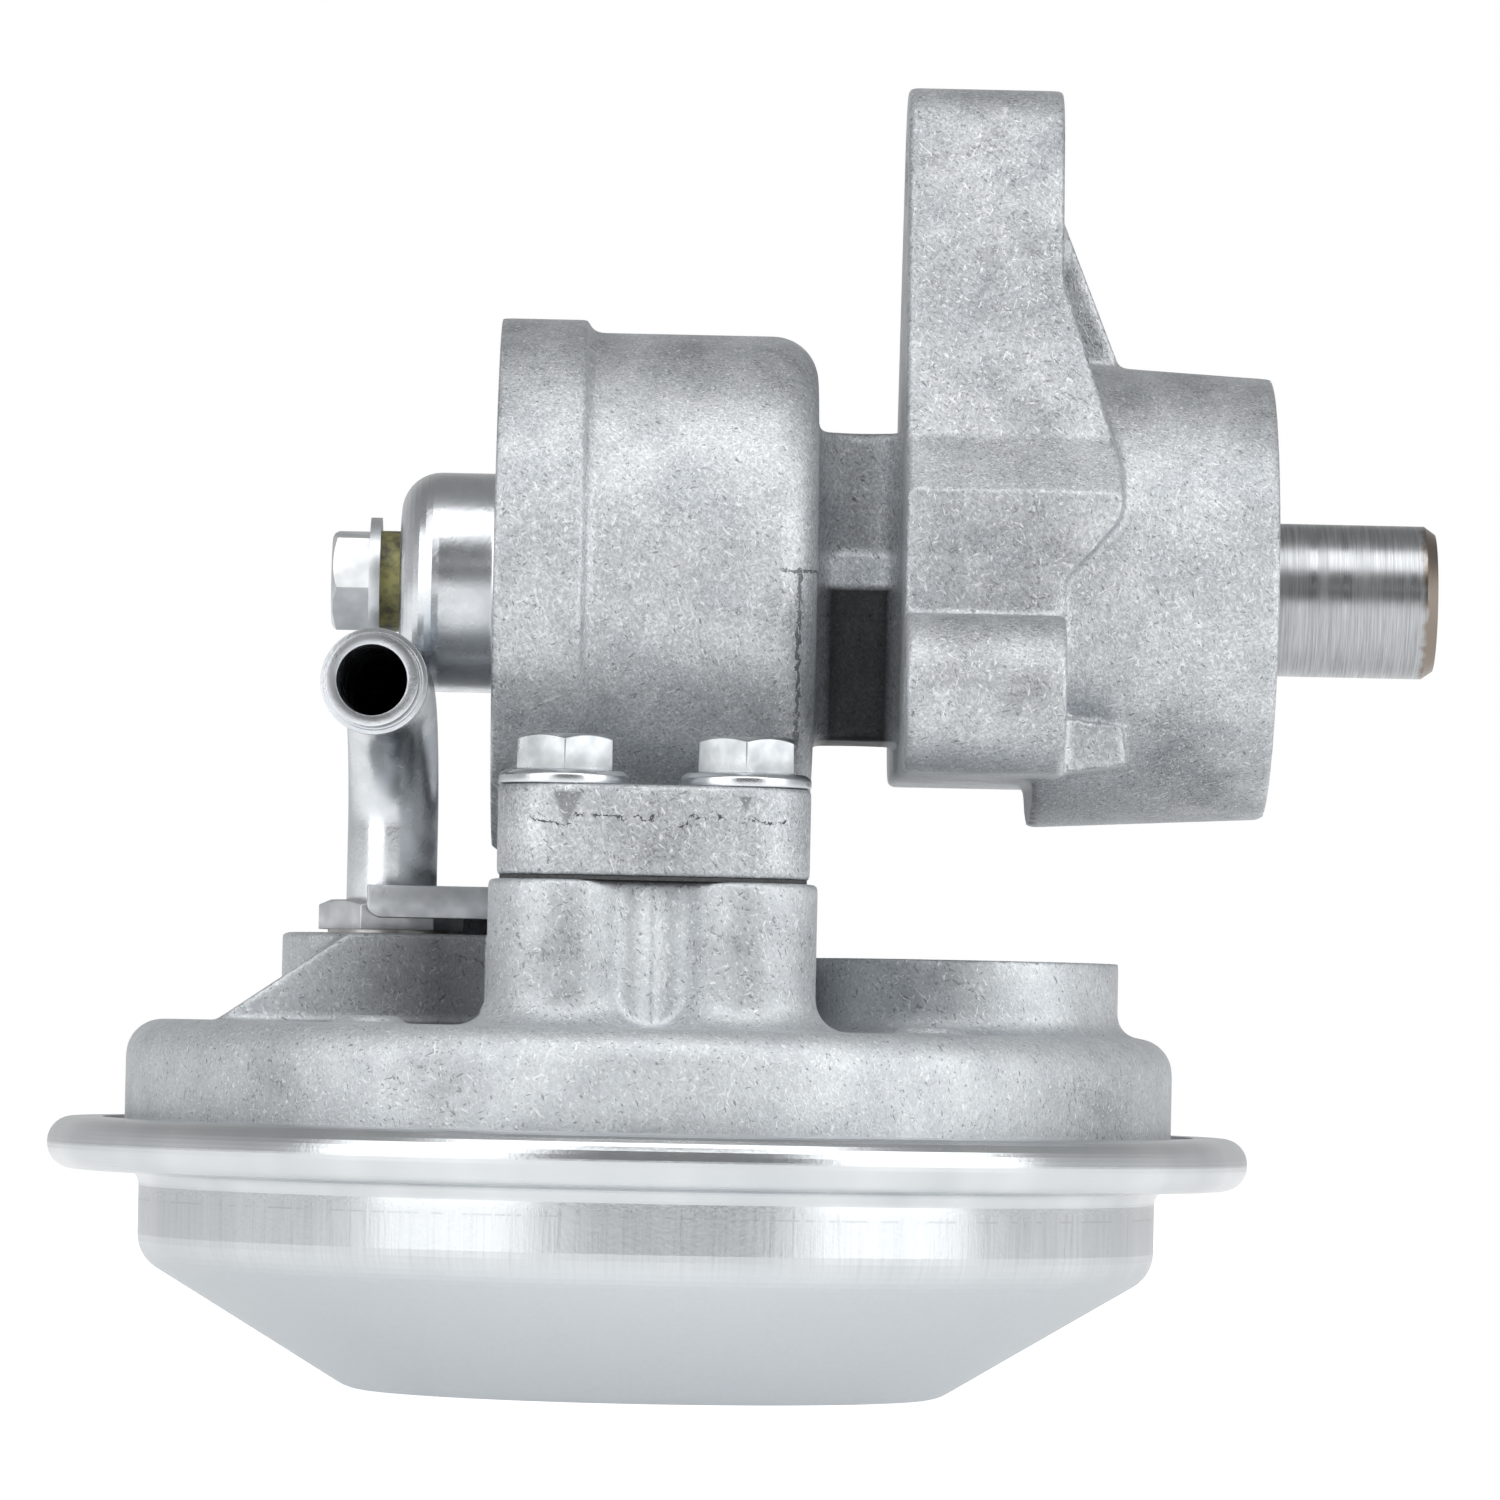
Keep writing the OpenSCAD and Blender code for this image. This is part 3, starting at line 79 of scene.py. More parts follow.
scene = bpy.context.scene
scene.view_settings.view_transform = "Standard"
right = Vector((math.cos(LEAN), 0, math.sin(LEAN)))
up = Vector((-math.sin(LEAN), 0, math.cos(LEAN)))
focal_pixels = PIXELS_PER_MM * DISTANCE / MM
aim = Vector((0, 1, 0)) + right * AIM_RIGHT / focal_pixels + up * AIM_UP / focal_pixels
forward = aim.normalized()
side = (right - forward * right.dot(forward)).normalized()
camera = bpy.data.objects.new("camera", bpy.data.cameras.new("camera"))
scene.collection.objects.link(camera)
camera.data.sensor_width = SENSOR_MM
camera.data.lens = SENSOR_MM * focal_pixels / PICTURE_PIXELS
camera.data.clip_start = 0.05
camera.data.clip_end = 20
turn = Matrix((side, side.cross(forward), -forward)).transposed()
camera.matrix_world = Matrix.Translation((0, -DISTANCE, LENS_HEIGHT)) @ turn.to_4x4()
scene.camera = camera
print("lens", round(camera.data.lens, 1), "mm")

# %% [markdown]
# ## A helper for materials
# A material is a small graph of nodes. One function adds a node, sets its options and fills its
# sockets, either with a number or with a link from an earlier node, and gives back an output of the
# new node, so that calls can be nested. Colours are written as the hex codes that a screen shows,
# and are turned to linear light in one place.

# %% Add a node, and turn a hex colour to linear light
def add(tree, kind, inputs=None, output=0, **options):
    made = tree.nodes.new(kind)
    for name, value in options.items():
        setattr(made, name, value)
    for socket, value in (inputs or {}).items():
        if isinstance(value, bpy.types.NodeSocket):
            tree.links.new(value, made.inputs[socket])
        else:
            made.inputs[socket].default_value = value
    return made.outputs[output] if len(made.outputs) else None


def linear(code):
    shown = [int(code[i:i + 2], 16) / 255 for i in (1, 3, 5)]
    return (*[c / 12.92 if c <= 0.04045 else ((c + 0.055) / 1.055) ** 2.4 for c in shown], 1)


print("add and linear ready")

# %% [markdown]
# ## The frame of every material
# Each material starts with the place on the object in millimetres, so that the size of a pattern can
# be written as it is on the real part. Each ends with a bump, which bends the light as fine relief
# would, and with one surface shader.

# %% Begin and end a material
def start_material(name):
    """A new material with an empty graph, and the place on the object in millimetres."""
    material = bpy.data.materials.new(name)
    material.use_nodes = True
    tree = material.node_tree
    tree.nodes.clear()
    place = add(tree, "ShaderNodeTexCoord", output="Object")
    at = add(tree, "ShaderNodeVectorMath", {0: place, "Scale": 1 / MM}, operation="SCALE")
    return material, tree, at


def end_material(tree, colour, metallic, rough, height, strength, depth_mm):
    """Bend the light by a height map, and give the surface its colour and its polish."""
    bump = add(tree, "ShaderNodeBump", {
        "Strength": strength, "Distance": depth_mm * MM, "Height": height})
    surface = add(tree, "ShaderNodeBsdfPrincipled", {
        "Base Color": colour, "Metallic": metallic, "Roughness": rough, "Normal": bump})
    add(tree, "ShaderNodeOutputMaterial", {"Surface": surface})


print("start and end ready")

# %% [markdown]
# ## Masks
# A mask is a number between 0 and 1 at each place of a surface: 1 where soot lies, say, and 0 where
# it doesn't. Masks come from noise, whose middle values are stretched to the full range, or from a
# place between two soft limits. Two masks multiplied leave only what both have, and the higher of
# two keeps what either has. Nearly every finish of this pump is built of these few steps.

# %% Make and join masks
def clouds(tree, at, per_mm, detail, cut, span=(0.0, 1.0), roughness=0.5):
    """Soft patches: the values of a noise between the two of cut, stretched to span."""
    soft = add(tree, "ShaderNodeTexNoise", {
        "Vector": at, "Scale": per_mm, "Detail": detail, "Roughness": roughness})
    return add(tree, "ShaderNodeMapRange", {
        "Value": soft, "From Min": cut[0], "From Max": cut[1], "To Min": span[0], "To Max": span[1]})


def all_of(tree, first, *others):
    """What all the masks have."""
    for other in others:
        first = add(tree, "ShaderNodeMath", {0: first, 1: other}, operation="MULTIPLY")
    return first


def any_of(tree, first, *others):
    """What at least one of the masks has."""
    for other in others:
        first = add(tree, "ShaderNodeMath", {0: first, 1: other}, operation="MAXIMUM")
    return first


def within(tree, value, rise=None, fall=None):
    """1 between two soft limits: it rises over the first pair of values and falls over the other."""
    ends = []
    if rise:
        ends.append(add(tree, "ShaderNodeMapRange", {
            "Value": value, "From Min": rise[0], "From Max": rise[1]}))
    if fall:
        ends.append(add(tree, "ShaderNodeMapRange", {
            "Value": value, "From Min": fall[0], "From Max": fall[1], "To Min": 1.0, "To Max": 0.0}))
    return all_of(tree, *ends)


def ragged_line(tree, value, wobble, middle, reach):
    """1 where a value that wanders by wobble is less than reach away from the middle."""
    wandering = add(tree, "ShaderNodeMath", {0: value, 1: wobble}, operation="ADD")
    return add(tree, "ShaderNodeMath", {0: wandering, 1: middle, 2: reach}, operation="COMPARE")


print("masks ready")

# %% [markdown]
# ## Die cast aluminium, tumbled
# Both housings are aluminium, die cast and then tumbled with steel shot to knock off the flash.
# The eye sees a pale, slightly blue satin grey with short nicks in every direction, some bright and
# some dark, about a millimetre long, and dark soot where the tumbler hardly reached. The bright nicks
# are painted near white as glints, and shade is painted over the places of the soot.
# Noise that is drawn out along one direction makes straight nicks, and several such noises, turned
# differently, cross each other. Where smooth noise passes through its middle value it draws a thin
# winding line, and short pieces of that line make the curved nicks.

# %% Draw nicks, straight and winding
def streaks(tree, at, turn, size, offset=(0, 0, 0)):
    """Noise drawn out along one direction, its bumps as wide and long as size says."""
    width, length = size
    place = add(tree, "ShaderNodeMapping", {
        "Vector": at, "Location": offset, "Rotation": [math.radians(a) for a in turn],
        "Scale": (width, length, width)}, vector_type="TEXTURE")
    return add(tree, "ShaderNodeTexNoise", {"Vector": place, "Scale": 1.0, "Detail": 1.0})


def crossed_streaks(tree, at, turns, size, offset=(0, 0, 0)):
    """The highest of several streaky noises, so that short streaks cross in every direction."""
    return any_of(tree, *[streaks(tree, at, turn, size, offset) for turn in turns])


def winding_nicks(tree, at, per_mm, width, share):
    """Short pieces of thin winding lines, 1 on a nick and 0 beside it."""
    wave = add(tree, "ShaderNodeTexNoise", {"Vector": at, "Scale": per_mm, "Detail": 1.0})
    on_line = add(tree, "ShaderNodeMath", {0: wave, 1: 0.5, 2: width}, operation="COMPARE")
    elsewhere = add(tree, "ShaderNodeVectorMath", {0: at, 1: (31, 7, 19)}, operation="ADD")
    return all_of(tree, on_line, clouds(tree, elsewhere, per_mm * 1.4, 1.0, (share, share + 0.05)))


print("nicks ready")

# %% [markdown]
# ## Where soot and painted shade lie
# Soot is not spread evenly, and painted shade lies in the same places. Both darken the top of the
# round walls, the face and the edges of the bracket, the ground round the web and the foot of the
# crankcase: partly real soot, partly painted shade. A short list of soft round spots says where, as
# a place across and up and a radius, and each is drawn as specks, denser towards its middle.

# %% Map the soot and the painted shade
# Each place is across, up and a radius in millimetres, of soot and painted shade together.
SOOT_AND_SHADE_PLACES = [
    (-17, 117, 7), (-8, 116, 6), (3, 115, 7), (13, 113, 6), (-19, 107, 5), (-19, 76, 6), (15, 74, 6),
    (-17, 66, 5), (14, 86, 4), (29, 137, 8), (36, 141, 8), (44, 140, 6), (43, 128, 5), (29, 122, 7),
    (33, 95, 9), (43, 92, 8), (40, 77, 6), (56, 72, 8), (67, 110, 7), (59, 113, 6), (51, 110, 5),
    (66, 96, 5), (36, 124, 20), (38, 108, 14), (38, 92, 14), (-9, 48, 11), (9, 48, 11), (33, 82, 8),
    (60, 68, 8), (-40, 34, 6), (-22, 34, 6), (48, 33, 6), (-25, 47, 8), (30, 47, 8), (0, 60, 9),
]


def soot_and_shade_map(tree, at):
    """How dark soot and painted shade make a place, from 0 to 1. The spots go through the casting
    from front to back.
    """
    flat = add(tree, "ShaderNodeVectorMath", {0: at, 1: (1, 0, 1)}, operation="MULTIPLY")
    spots = []
    for x, z, radius in SOOT_AND_SHADE_PLACES:
        away = add(tree, "ShaderNodeVectorMath", {0: flat, 1: (x, 0, z)}, output="Value",
                   operation="DISTANCE")
        spots.append(within(tree, away, fall=(0, radius)))
    return any_of(tree, *spots)


print(len(SOOT_AND_SHADE_PLACES), "sooty places")

# %% [markdown]
# ## Painted shade in the slot and the pocket
# The slot round the neck lies deep between the crankcase and the bracket, so shade is painted into
# it, darkest below the ridge that crosses it, while the ridge itself is painted lighter. The pocket
# between the web and the pedestal is deep and gets painted shade too. Each is a box with soft sides,
# in which the casting keeps less of its light.

# %% Paint shade into the slot and the pocket
SLOT_LEFT, SLOT_RIGHT, SLOT_FOOT = (17.2, 19.0), (25.0, 26.4), (70.0, 72.0)
RIDGE_FOOT, RIDGE_TOP = (89.0, 89.8), (92.8, 93.4)
POCKET_LEFT, POCKET_RIGHT = (-41.0, -23.0), (-18.3, -18.1)
POCKET_FRONT, POCKET_BACK = (-39.0, -38.0), (-8.0, -4.0)
POCKET_FLOOR, POCKET_TOP = (38.6, 40.6), (50.0, 52.0)


def painted_slot_shade(tree, place):
    """The factor of painted shade in the slot round the neck: darkest below the ridge, 1 outside the
    slot, and above 1 on the ridge, which is painted lighter.
    """
    x, _, z = place
    slot = all_of(tree, within(tree, x, SLOT_LEFT, SLOT_RIGHT), within(tree, z, SLOT_FOOT))
    below = all_of(tree, slot, within(tree, z, fall=RIDGE_FOOT))
    above = all_of(tree, slot, within(tree, z, RIDGE_TOP))
    kept = 1.0
    for shaded_band, change in ((slot, 0.25), (below, -1.15), (above, -0.53)):
        kept = add(tree, "ShaderNodeMath", {0: shaded_band, 1: change, 2: kept}, operation="MULTIPLY_ADD")
    return kept


def painted_pocket_shade(tree, place):
    """The factor of painted shade in the pocket between the web and the pedestal."""
    x, y, z = place
    pocket = all_of(tree, within(tree, x, POCKET_LEFT, POCKET_RIGHT),
                    within(tree, y, POCKET_FRONT, POCKET_BACK),
                    within(tree, z, POCKET_FLOOR, POCKET_TOP))
    return add(tree, "ShaderNodeMath", {0: pocket, 1: -0.70, 2: 1.0}, operation="MULTIPLY_ADD")


print("dark skin ready")

# %% [markdown]
# ## Marks of the die and of the hands
# The two halves of the die met badly at the crankcase's front and left a ragged dark step. The bolts
# left a smear of grease on the face of the flange below them, and the tool that trimmed the flash a
# thin broken line. Softening the casting's edges would wipe out so low a step, so it is drawn.

# %% Draw the parting step and the grease
STEP_ACROSS, STEP_UP = 15.2, 90.3
BOLT_SMEARS = ((-9.3, 61.3, 65.6), (9.7, 63.2, 65.4))
SMEAR_SLOPE = 0.42
TRIM_LINE_UP = 62.6
FLANGE_FACE = (-40.5, -40.0)


def parting_step(tree, at, place):
    """The ragged step: upright beside the neck, and level for a short way above."""
    x, y, z = place
    wobble = clouds(tree, at, 0.9, 3.0, (0.3, 0.7), (-0.3, 0.3))
    upright = all_of(tree, ragged_line(tree, x, wobble, STEP_ACROSS, 0.22),
                     within(tree, z, (69.0, 72.0), (90.0, 90.2)))
    level = all_of(tree, ragged_line(tree, z, wobble, STEP_UP, 0.2),
                   within(tree, x, (12.6, 13.6), (17.2, 17.5)))
    return all_of(tree, any_of(tree, upright, level), within(tree, y, fall=(-14.0, -10.0)))


def grease(tree, at, place):
    """Two smears under the bolts, narrow at the foot, and the broken line of the trimming tool."""
    x, y, z = place
    smears = []
    for centre, foot, top in BOLT_SMEARS:
        across = add(tree, "ShaderNodeMath", {0: x, 1: centre}, operation="SUBTRACT")
        aside = add(tree, "ShaderNodeMath", {0: across}, operation="ABSOLUTE")
        above = add(tree, "ShaderNodeMath", {0: z, 1: foot}, operation="SUBTRACT")
        half = add(tree, "ShaderNodeMath", {0: above, 1: SMEAR_SLOPE}, operation="MULTIPLY")
        margin = add(tree, "ShaderNodeMath", {0: half, 1: aside}, operation="SUBTRACT")
        smears.append(all_of(tree, within(tree, margin, (0.0, 0.35)),
                             within(tree, z, fall=(top - 0.2, top))))
    faint = add(tree, "ShaderNodeMath", {0: any_of(tree, *smears), 1: 0.55}, operation="MULTIPLY")
    wobble = clouds(tree, at, 0.25, 4.0, (0.3, 0.7), (-1.3, 1.3), 0.7)
    line = all_of(tree, ragged_line(tree, z, wobble, TRIM_LINE_UP, 0.13),
                  clouds(tree, at, 0.6, 2.0, (0.45, 0.55)), within(tree, x, (-14.5, -13.5)))
    return all_of(tree, any_of(tree, faint, line), within(tree, y, fall=FLANGE_FACE))


print(len(BOLT_SMEARS), "smears")

# %% [markdown]
# ## Ripples and dark nicks
# The shot leaves fine shallow ripples everywhere. They bend the light through the bump, and their
# shade and highlights are also painted into the colour. The smallest are too fine to show from a
# metre away, so the ripples are drawn a quarter of a millimetre wide. Dark nicks are few, but many
# where soot and painted shade lie. Each size is a width and a length in millimetres, and the turns
# are angles in degrees.

# %% Shade the ripples and gather the dark nicks
TURNS = ((75, 15, 0), (105, 70, 0), (80, -50, 0), (100, -20, 0))
RIPPLE, BRIGHT_NICK, DARK_NICK = (0.24, 0.9), (0.34, 1.5), (0.34, 1.2)


def ripple_shade(tree, mottle, ripples, contrast):
    """How much lighter or darker the mottling and the painted shade of the ripples make each place.
    """
    mottled = add(tree, "ShaderNodeMapRange", {
        "Value": mottle, "From Min": 0.30, "From Max": 0.70,
        "To Min": 1 - 0.08 * contrast, "To Max": 1 + 0.06 * contrast})
    rippled = add(tree, "ShaderNodeMapRange", {
        "Value": ripples, "To Min": 1 - 0.22 * contrast, "To Max": 1 + 0.26 * contrast})
    return add(tree, "ShaderNodeMath", {0: mottled, 1: rippled}, operation="MULTIPLY")


def dark_nicks(tree, at, place, soot_and_shade_patches):
    """Dark nicks, denser where soot and painted shade lie, with the grease and the parting step."""
    limit = add(tree, "ShaderNodeMapRange", {"Value": soot_and_shade_patches, "To Min": 0.70, "To Max": 0.60})
    flecks = crossed_streaks(tree, at, TURNS[1:], DARK_NICK, (17, 5, 9))
    over = add(tree, "ShaderNodeMath", {0: flecks, 1: limit}, operation="SUBTRACT")
    nicks = add(tree, "ShaderNodeMath", {0: within(tree, over, (0.0, 0.05)), 1: 0.58},
                operation="MULTIPLY")
    step = add(tree, "ShaderNodeMath", {0: parting_step(tree, at, place), 1: 0.8},
               operation="MULTIPLY")
    return any_of(tree, nicks, grease(tree, at, place), step)


print(len(TURNS), "directions of nicks")

# %% [markdown]
# ## The casting's colour
# The colour is built up from the metal outwards: pale and dull patches, the painted shade of the
# ripples, the soot with painted shade and the dark nicks, the bright nicks painted as glints, and
# the painted shade of the slot and the pocket over all. Dull patches are a little rougher. The lower
# housing's marks are fainter, so it has the same finish with less contrast.

# %% Make the cast aluminium
# The grey of soot and painted shade, and the near white of the painted glints on the bright nicks.
SOOT_AND_SHADE_GREY, NICK_GLINT = "#55575a", "#f4f5f5"


def die_cast_aluminium(name, pale, dull, contrast):
    material, tree, at = start_material(name)
    place = [add(tree, "ShaderNodeSeparateXYZ", {"Vector": at}, output=axis) for axis in "XYZ"]
    patches = add(tree, "ShaderNodeTexNoise", {
        "Vector": at, "Scale": 0.16, "Detail": 3.0, "Roughness": 0.55})
    mottle = add(tree, "ShaderNodeTexNoise", {
        "Vector": at, "Scale": 1.7, "Detail": 4.0, "Roughness": 0.7})
    ripples = within(tree, crossed_streaks(tree, at, TURNS, RIPPLE), (0.50, 0.78))
    bright = within(tree, crossed_streaks(tree, at, TURNS, BRIGHT_NICK, (3, 11, 6)), (0.69, 0.74))
    bright = any_of(tree, bright, winding_nicks(tree, at, 0.75, 0.010, 0.58))
    soot_and_shade = soot_and_shade_map(tree, at)
    soot_and_shade_patches = all_of(tree, soot_and_shade, clouds(tree, at, 0.35, 3.0, (0.35, 0.6)))
    dark = dark_nicks(tree, at, place, soot_and_shade_patches)
    # The film lays soot and painted shade over the mapped places.
    both = add(tree, "ShaderNodeMath", {0: soot_and_shade_patches, 1: soot_and_shade}, operation="ADD")
    soot_and_shade_film = add(tree, "ShaderNodeMath", {0: both, 1: 0.20}, operation="MULTIPLY")
    # The bright nicks are real marks, and their near white colour is a painted glint.
    nick_glints = add(tree, "ShaderNodeMath", {0: bright, 1: 0.48}, operation="MULTIPLY")

    colour = add(tree, "ShaderNodeMix", {
        "Factor": within(tree, patches, (0.35, 0.65)), "A": linear(dull), "B": linear(pale)},
        "Result", data_type="RGBA")
    # The shade and highlights of the ripples are painted into the colour here.
    shade = ripple_shade(tree, mottle, ripples, contrast)
    colour = add(tree, "ShaderNodeVectorMath", {0: colour, "Scale": shade}, operation="SCALE")
    colour = add(tree, "ShaderNodeMix", {
        "Factor": any_of(tree, dark, soot_and_shade_film), "A": colour, "B": linear(SOOT_AND_SHADE_GREY)},
        "Result", data_type="RGBA")
    colour = add(tree, "ShaderNodeMix", {"Factor": nick_glints, "A": colour, "B": linear(NICK_GLINT)},
                 "Result", data_type="RGBA")
    # Painted shade in the slot and the pocket, with the ridge painted lighter, scales the colour
    # last.
    kept = all_of(tree, painted_slot_shade(tree, place), painted_pocket_shade(tree, place))
    colour = add(tree, "ShaderNodeVectorMath", {0: colour, "Scale": kept}, operation="SCALE")

    rough = add(tree, "ShaderNodeMapRange", {
        "Value": patches, "From Min": 0.3, "From Max": 0.7, "To Min": 0.58, "To Max": 0.50})
    height = add(tree, "ShaderNodeMath", {0: mottle, 1: ripples}, operation="ADD")
    height = add(tree, "ShaderNodeMath", {0: height, 1: bright}, operation="ADD")
    height = add(tree, "ShaderNodeMath", {0: height, 1: dark}, operation="SUBTRACT")
    end_material(tree, colour, 0.8, rough, height, 0.35, 0.06)
    return material


cast_aluminium = die_cast_aluminium("die_cast_aluminium_tumbled", "#c9cccf", "#b7bbbf", 1.0)
calm_aluminium = die_cast_aluminium("die_cast_aluminium_calm", "#ccd0d3", "#c0c4c8", 0.55)
print(cast_aluminium.name, calm_aluminium.name)

# %% [markdown]
# ## Drawn and zinc plated steel
# The can is one sheet, drawn through a ring, so its wall carries fine upright lines all round and
# broad soft bands where the die rubbed. A pattern that runs round a cylinder needs the angle round
# its axis: the arc tangent of the place gives it, and times the radius it is in millimetres. Only
# the upright wall is polished by the draw. The cone and the bottom are left matt. The draw stopped
# once, 3 mm under the rim, and left a fine broken line.

# %% Make the drawn steel of the can
CAN_RADIUS = 56.0
LINE_STRETCH = 0.04
WALL_FOOT, WALL_TOP = (13.2, 16.4), (20.6, 22.0)
DRAW_STOP = 20.5


def round_the_axis(tree, at):
    """Arc length and height on a wall that goes round the upright axis, the height squeezed."""
    x, y, z = [add(tree, "ShaderNodeSeparateXYZ", {"Vector": at}, output=axis) for axis in "XYZ"]
    angle = add(tree, "ShaderNodeMath", {0: y, 1: x}, operation="ARCTAN2")
    arc = add(tree, "ShaderNodeMath", {0: angle, 1: CAN_RADIUS}, operation="MULTIPLY")
    height = add(tree, "ShaderNodeMath", {0: z, 1: LINE_STRETCH}, operation="MULTIPLY")
    return add(tree, "ShaderNodeCombineXYZ", {"X": arc, "Y": height}), z


def drawn_zinc_steel(name):
    material, tree, at = start_material(name)
    wrapped, z = round_the_axis(tree, at)
    lines = add(tree, "ShaderNodeTexNoise", {
        "Vector": wrapped, "Scale": 1.6, "Detail": 2.0, "Roughness": 0.75})
    grain = add(tree, "ShaderNodeTexNoise", {"Vector": at, "Scale": 1.4, "Detail": 3.0})
    bands = clouds(tree, wrapped, 0.07, 2.0, (0.35, 0.65), roughness=0.6)
    wall = within(tree, z, WALL_FOOT)
    under_rim = within(tree, z, fall=WALL_TOP)
    stop = add(tree, "ShaderNodeMath", {0: z, 1: DRAW_STOP, 2: 0.09}, operation="COMPARE")
    broken = all_of(tree, stop, clouds(tree, wrapped, 0.5, 2.0, (0.47, 0.53)))
    drawn = any_of(tree, all_of(tree, within(tree, lines, (0.44, 0.80)), wall, under_rim), broken)
    scored = add(tree, "ShaderNodeMath", {0: drawn, 1: 0.42}, operation="MULTIPLY")

    colour = add(tree, "ShaderNodeMix", {
        "Factor": bands, "A": linear("#c0c4c7"), "B": linear("#d0d3d5")}, "Result", data_type="RGBA")
    colour = add(tree, "ShaderNodeMix", {"Factor": wall, "A": linear("#c9cdd0"), "B": colour},
                 "Result", data_type="RGBA")
    colour = add(tree, "ShaderNodeMix", {"Factor": scored, "A": colour, "B": linear("#9fa4a8")},
                 "Result", data_type="RGBA")

    matt = add(tree, "ShaderNodeMapRange", {
        "Value": grain, "From Min": 0.3, "From Max": 0.7, "To Min": 0.50, "To Max": 0.58})
    shiny = add(tree, "ShaderNodeMapRange", {
        "Value": lines, "From Min": 0.3, "From Max": 0.7, "To Min": 0.35, "To Max": 0.27})
    shiny = add(tree, "ShaderNodeMix", {"Factor": under_rim, "A": 0.24, "B": shiny})
    rough = add(tree, "ShaderNodeMix", {"Factor": wall, "A": matt, "B": shiny})
    orange_peel = add(tree, "ShaderNodeTexNoise", {"Vector": at, "Scale": 2.6, "Detail": 1.0})
    height = add(tree, "ShaderNodeMath", {0: grain, 1: orange_peel}, operation="ADD")
    height = add(tree, "ShaderNodeMath", {0: drawn, 1: height}, operation="ADD")
    end_material(tree, colour, 0.9, rough, height, 0.2, 0.05)
    return material


can_steel = drawn_zinc_steel("drawn_zinc_plated_steel")
print(can_steel.name)

# %% [markdown]
# ## The plain metals
# Washers, tube and rear cover have bright zinc, pale and faintly blue with cloudy patches. The clamp
# bolts are barrel plated and darker, the plug and the fitting are matt, the lock plate is greyer, and
# the spring clips are phosphated to a dark grey. The bearings' rings and balls are ground bright.
# Brass, copper, cast iron and turned aluminium have the same build of clouds and fine marks with
# their own colours and polish, so one function makes them all.

# %% Make the plain metals
def plain_metal(name, pale, dull, rough_low, rough_high, patch=0.35, nick=0.4):
    material, tree, at = start_material(name)
    cloudy = add(tree, "ShaderNodeTexNoise", {"Vector": at, "Scale": patch, "Detail": 2.0})
    grain = add(tree, "ShaderNodeTexNoise", {"Vector": at, "Scale": 2.2, "Detail": 2.0})
    colour = add(tree, "ShaderNodeMix", {
        "Factor": within(tree, cloudy, (0.35, 0.65)), "A": linear(dull), "B": linear(pale)},
        "Result", data_type="RGBA")
    rough = add(tree, "ShaderNodeMapRange", {
        "Value": cloudy, "From Min": 0.3, "From Max": 0.7, "To Min": rough_high,
        "To Max": rough_low})
    marks = streaks(tree, at, (70, 35, 0), (nick, nick * 6))
    marks = add(tree, "ShaderNodeMath", {0: marks, 1: grain}, operation="ADD")
    height = add(tree, "ShaderNodeMath", {0: marks, 1: cloudy}, operation="ADD")
    end_material(tree, colour, 1.0, rough, height, 0.25, 0.04)
    return material


bright_zinc = plain_metal("bright_zinc_plated_steel", "#d4d7da", "#c8ccd0", 0.25, 0.31)
pale_zinc = plain_metal("matt_zinc_plated_steel", "#d8dadc", "#c2c5c8", 0.38, 0.50)
barrel_zinc = plain_metal("barrel_zinc_plated_steel", "#b9bcbe", "#9fa3a6", 0.24, 0.36)
grey_zinc = plain_metal("grey_zinc_plated_steel", "#c6c9cc", "#abaeb2", 0.32, 0.44)
spring_steel = plain_metal("phosphated_spring_steel", "#55565a", "#3c3d40", 0.35, 0.5, 0.8)
bearing_steel = plain_metal("ground_bearing_steel", "#d0d2d5", "#bfc2c6", 0.12, 0.2, 0.5, 0.2)
brass = plain_metal("turned_brass", "#d8b46a", "#c39c52", 0.22, 0.34)
copper = plain_metal("tinned_soft_copper", "#c6c4c0", "#aaa7a3", 0.3, 0.42)
machined_iron = plain_metal("machined_cast_iron", "#8b8c8f", "#6e7073", 0.38, 0.5, 0.9)
turned_aluminium = plain_metal("turned_aluminium", "#cdd0d3", "#b9bcc0", 0.28, 0.4)
print("plain metals ready")

# %% [markdown]
# ## The ground shaft
# A shaft that carries a pulley is ground: the wheel leaves hair-fine lines that run round it. They
# depend on the place along the axis, with a slow change round the axis. The rounded edge of the end
# was never ground and has a brown film of rust, which is only faint on the end's flat middle.

# %% Make the ground shaft's steel
shaft_low, shaft_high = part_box("drive_shaft")
SHAFT_UP = round((shaft_low[2] + shaft_high[2]) / 2 / MM, 2)
SHAFT_END = round(shaft_high[0] / MM, 2)


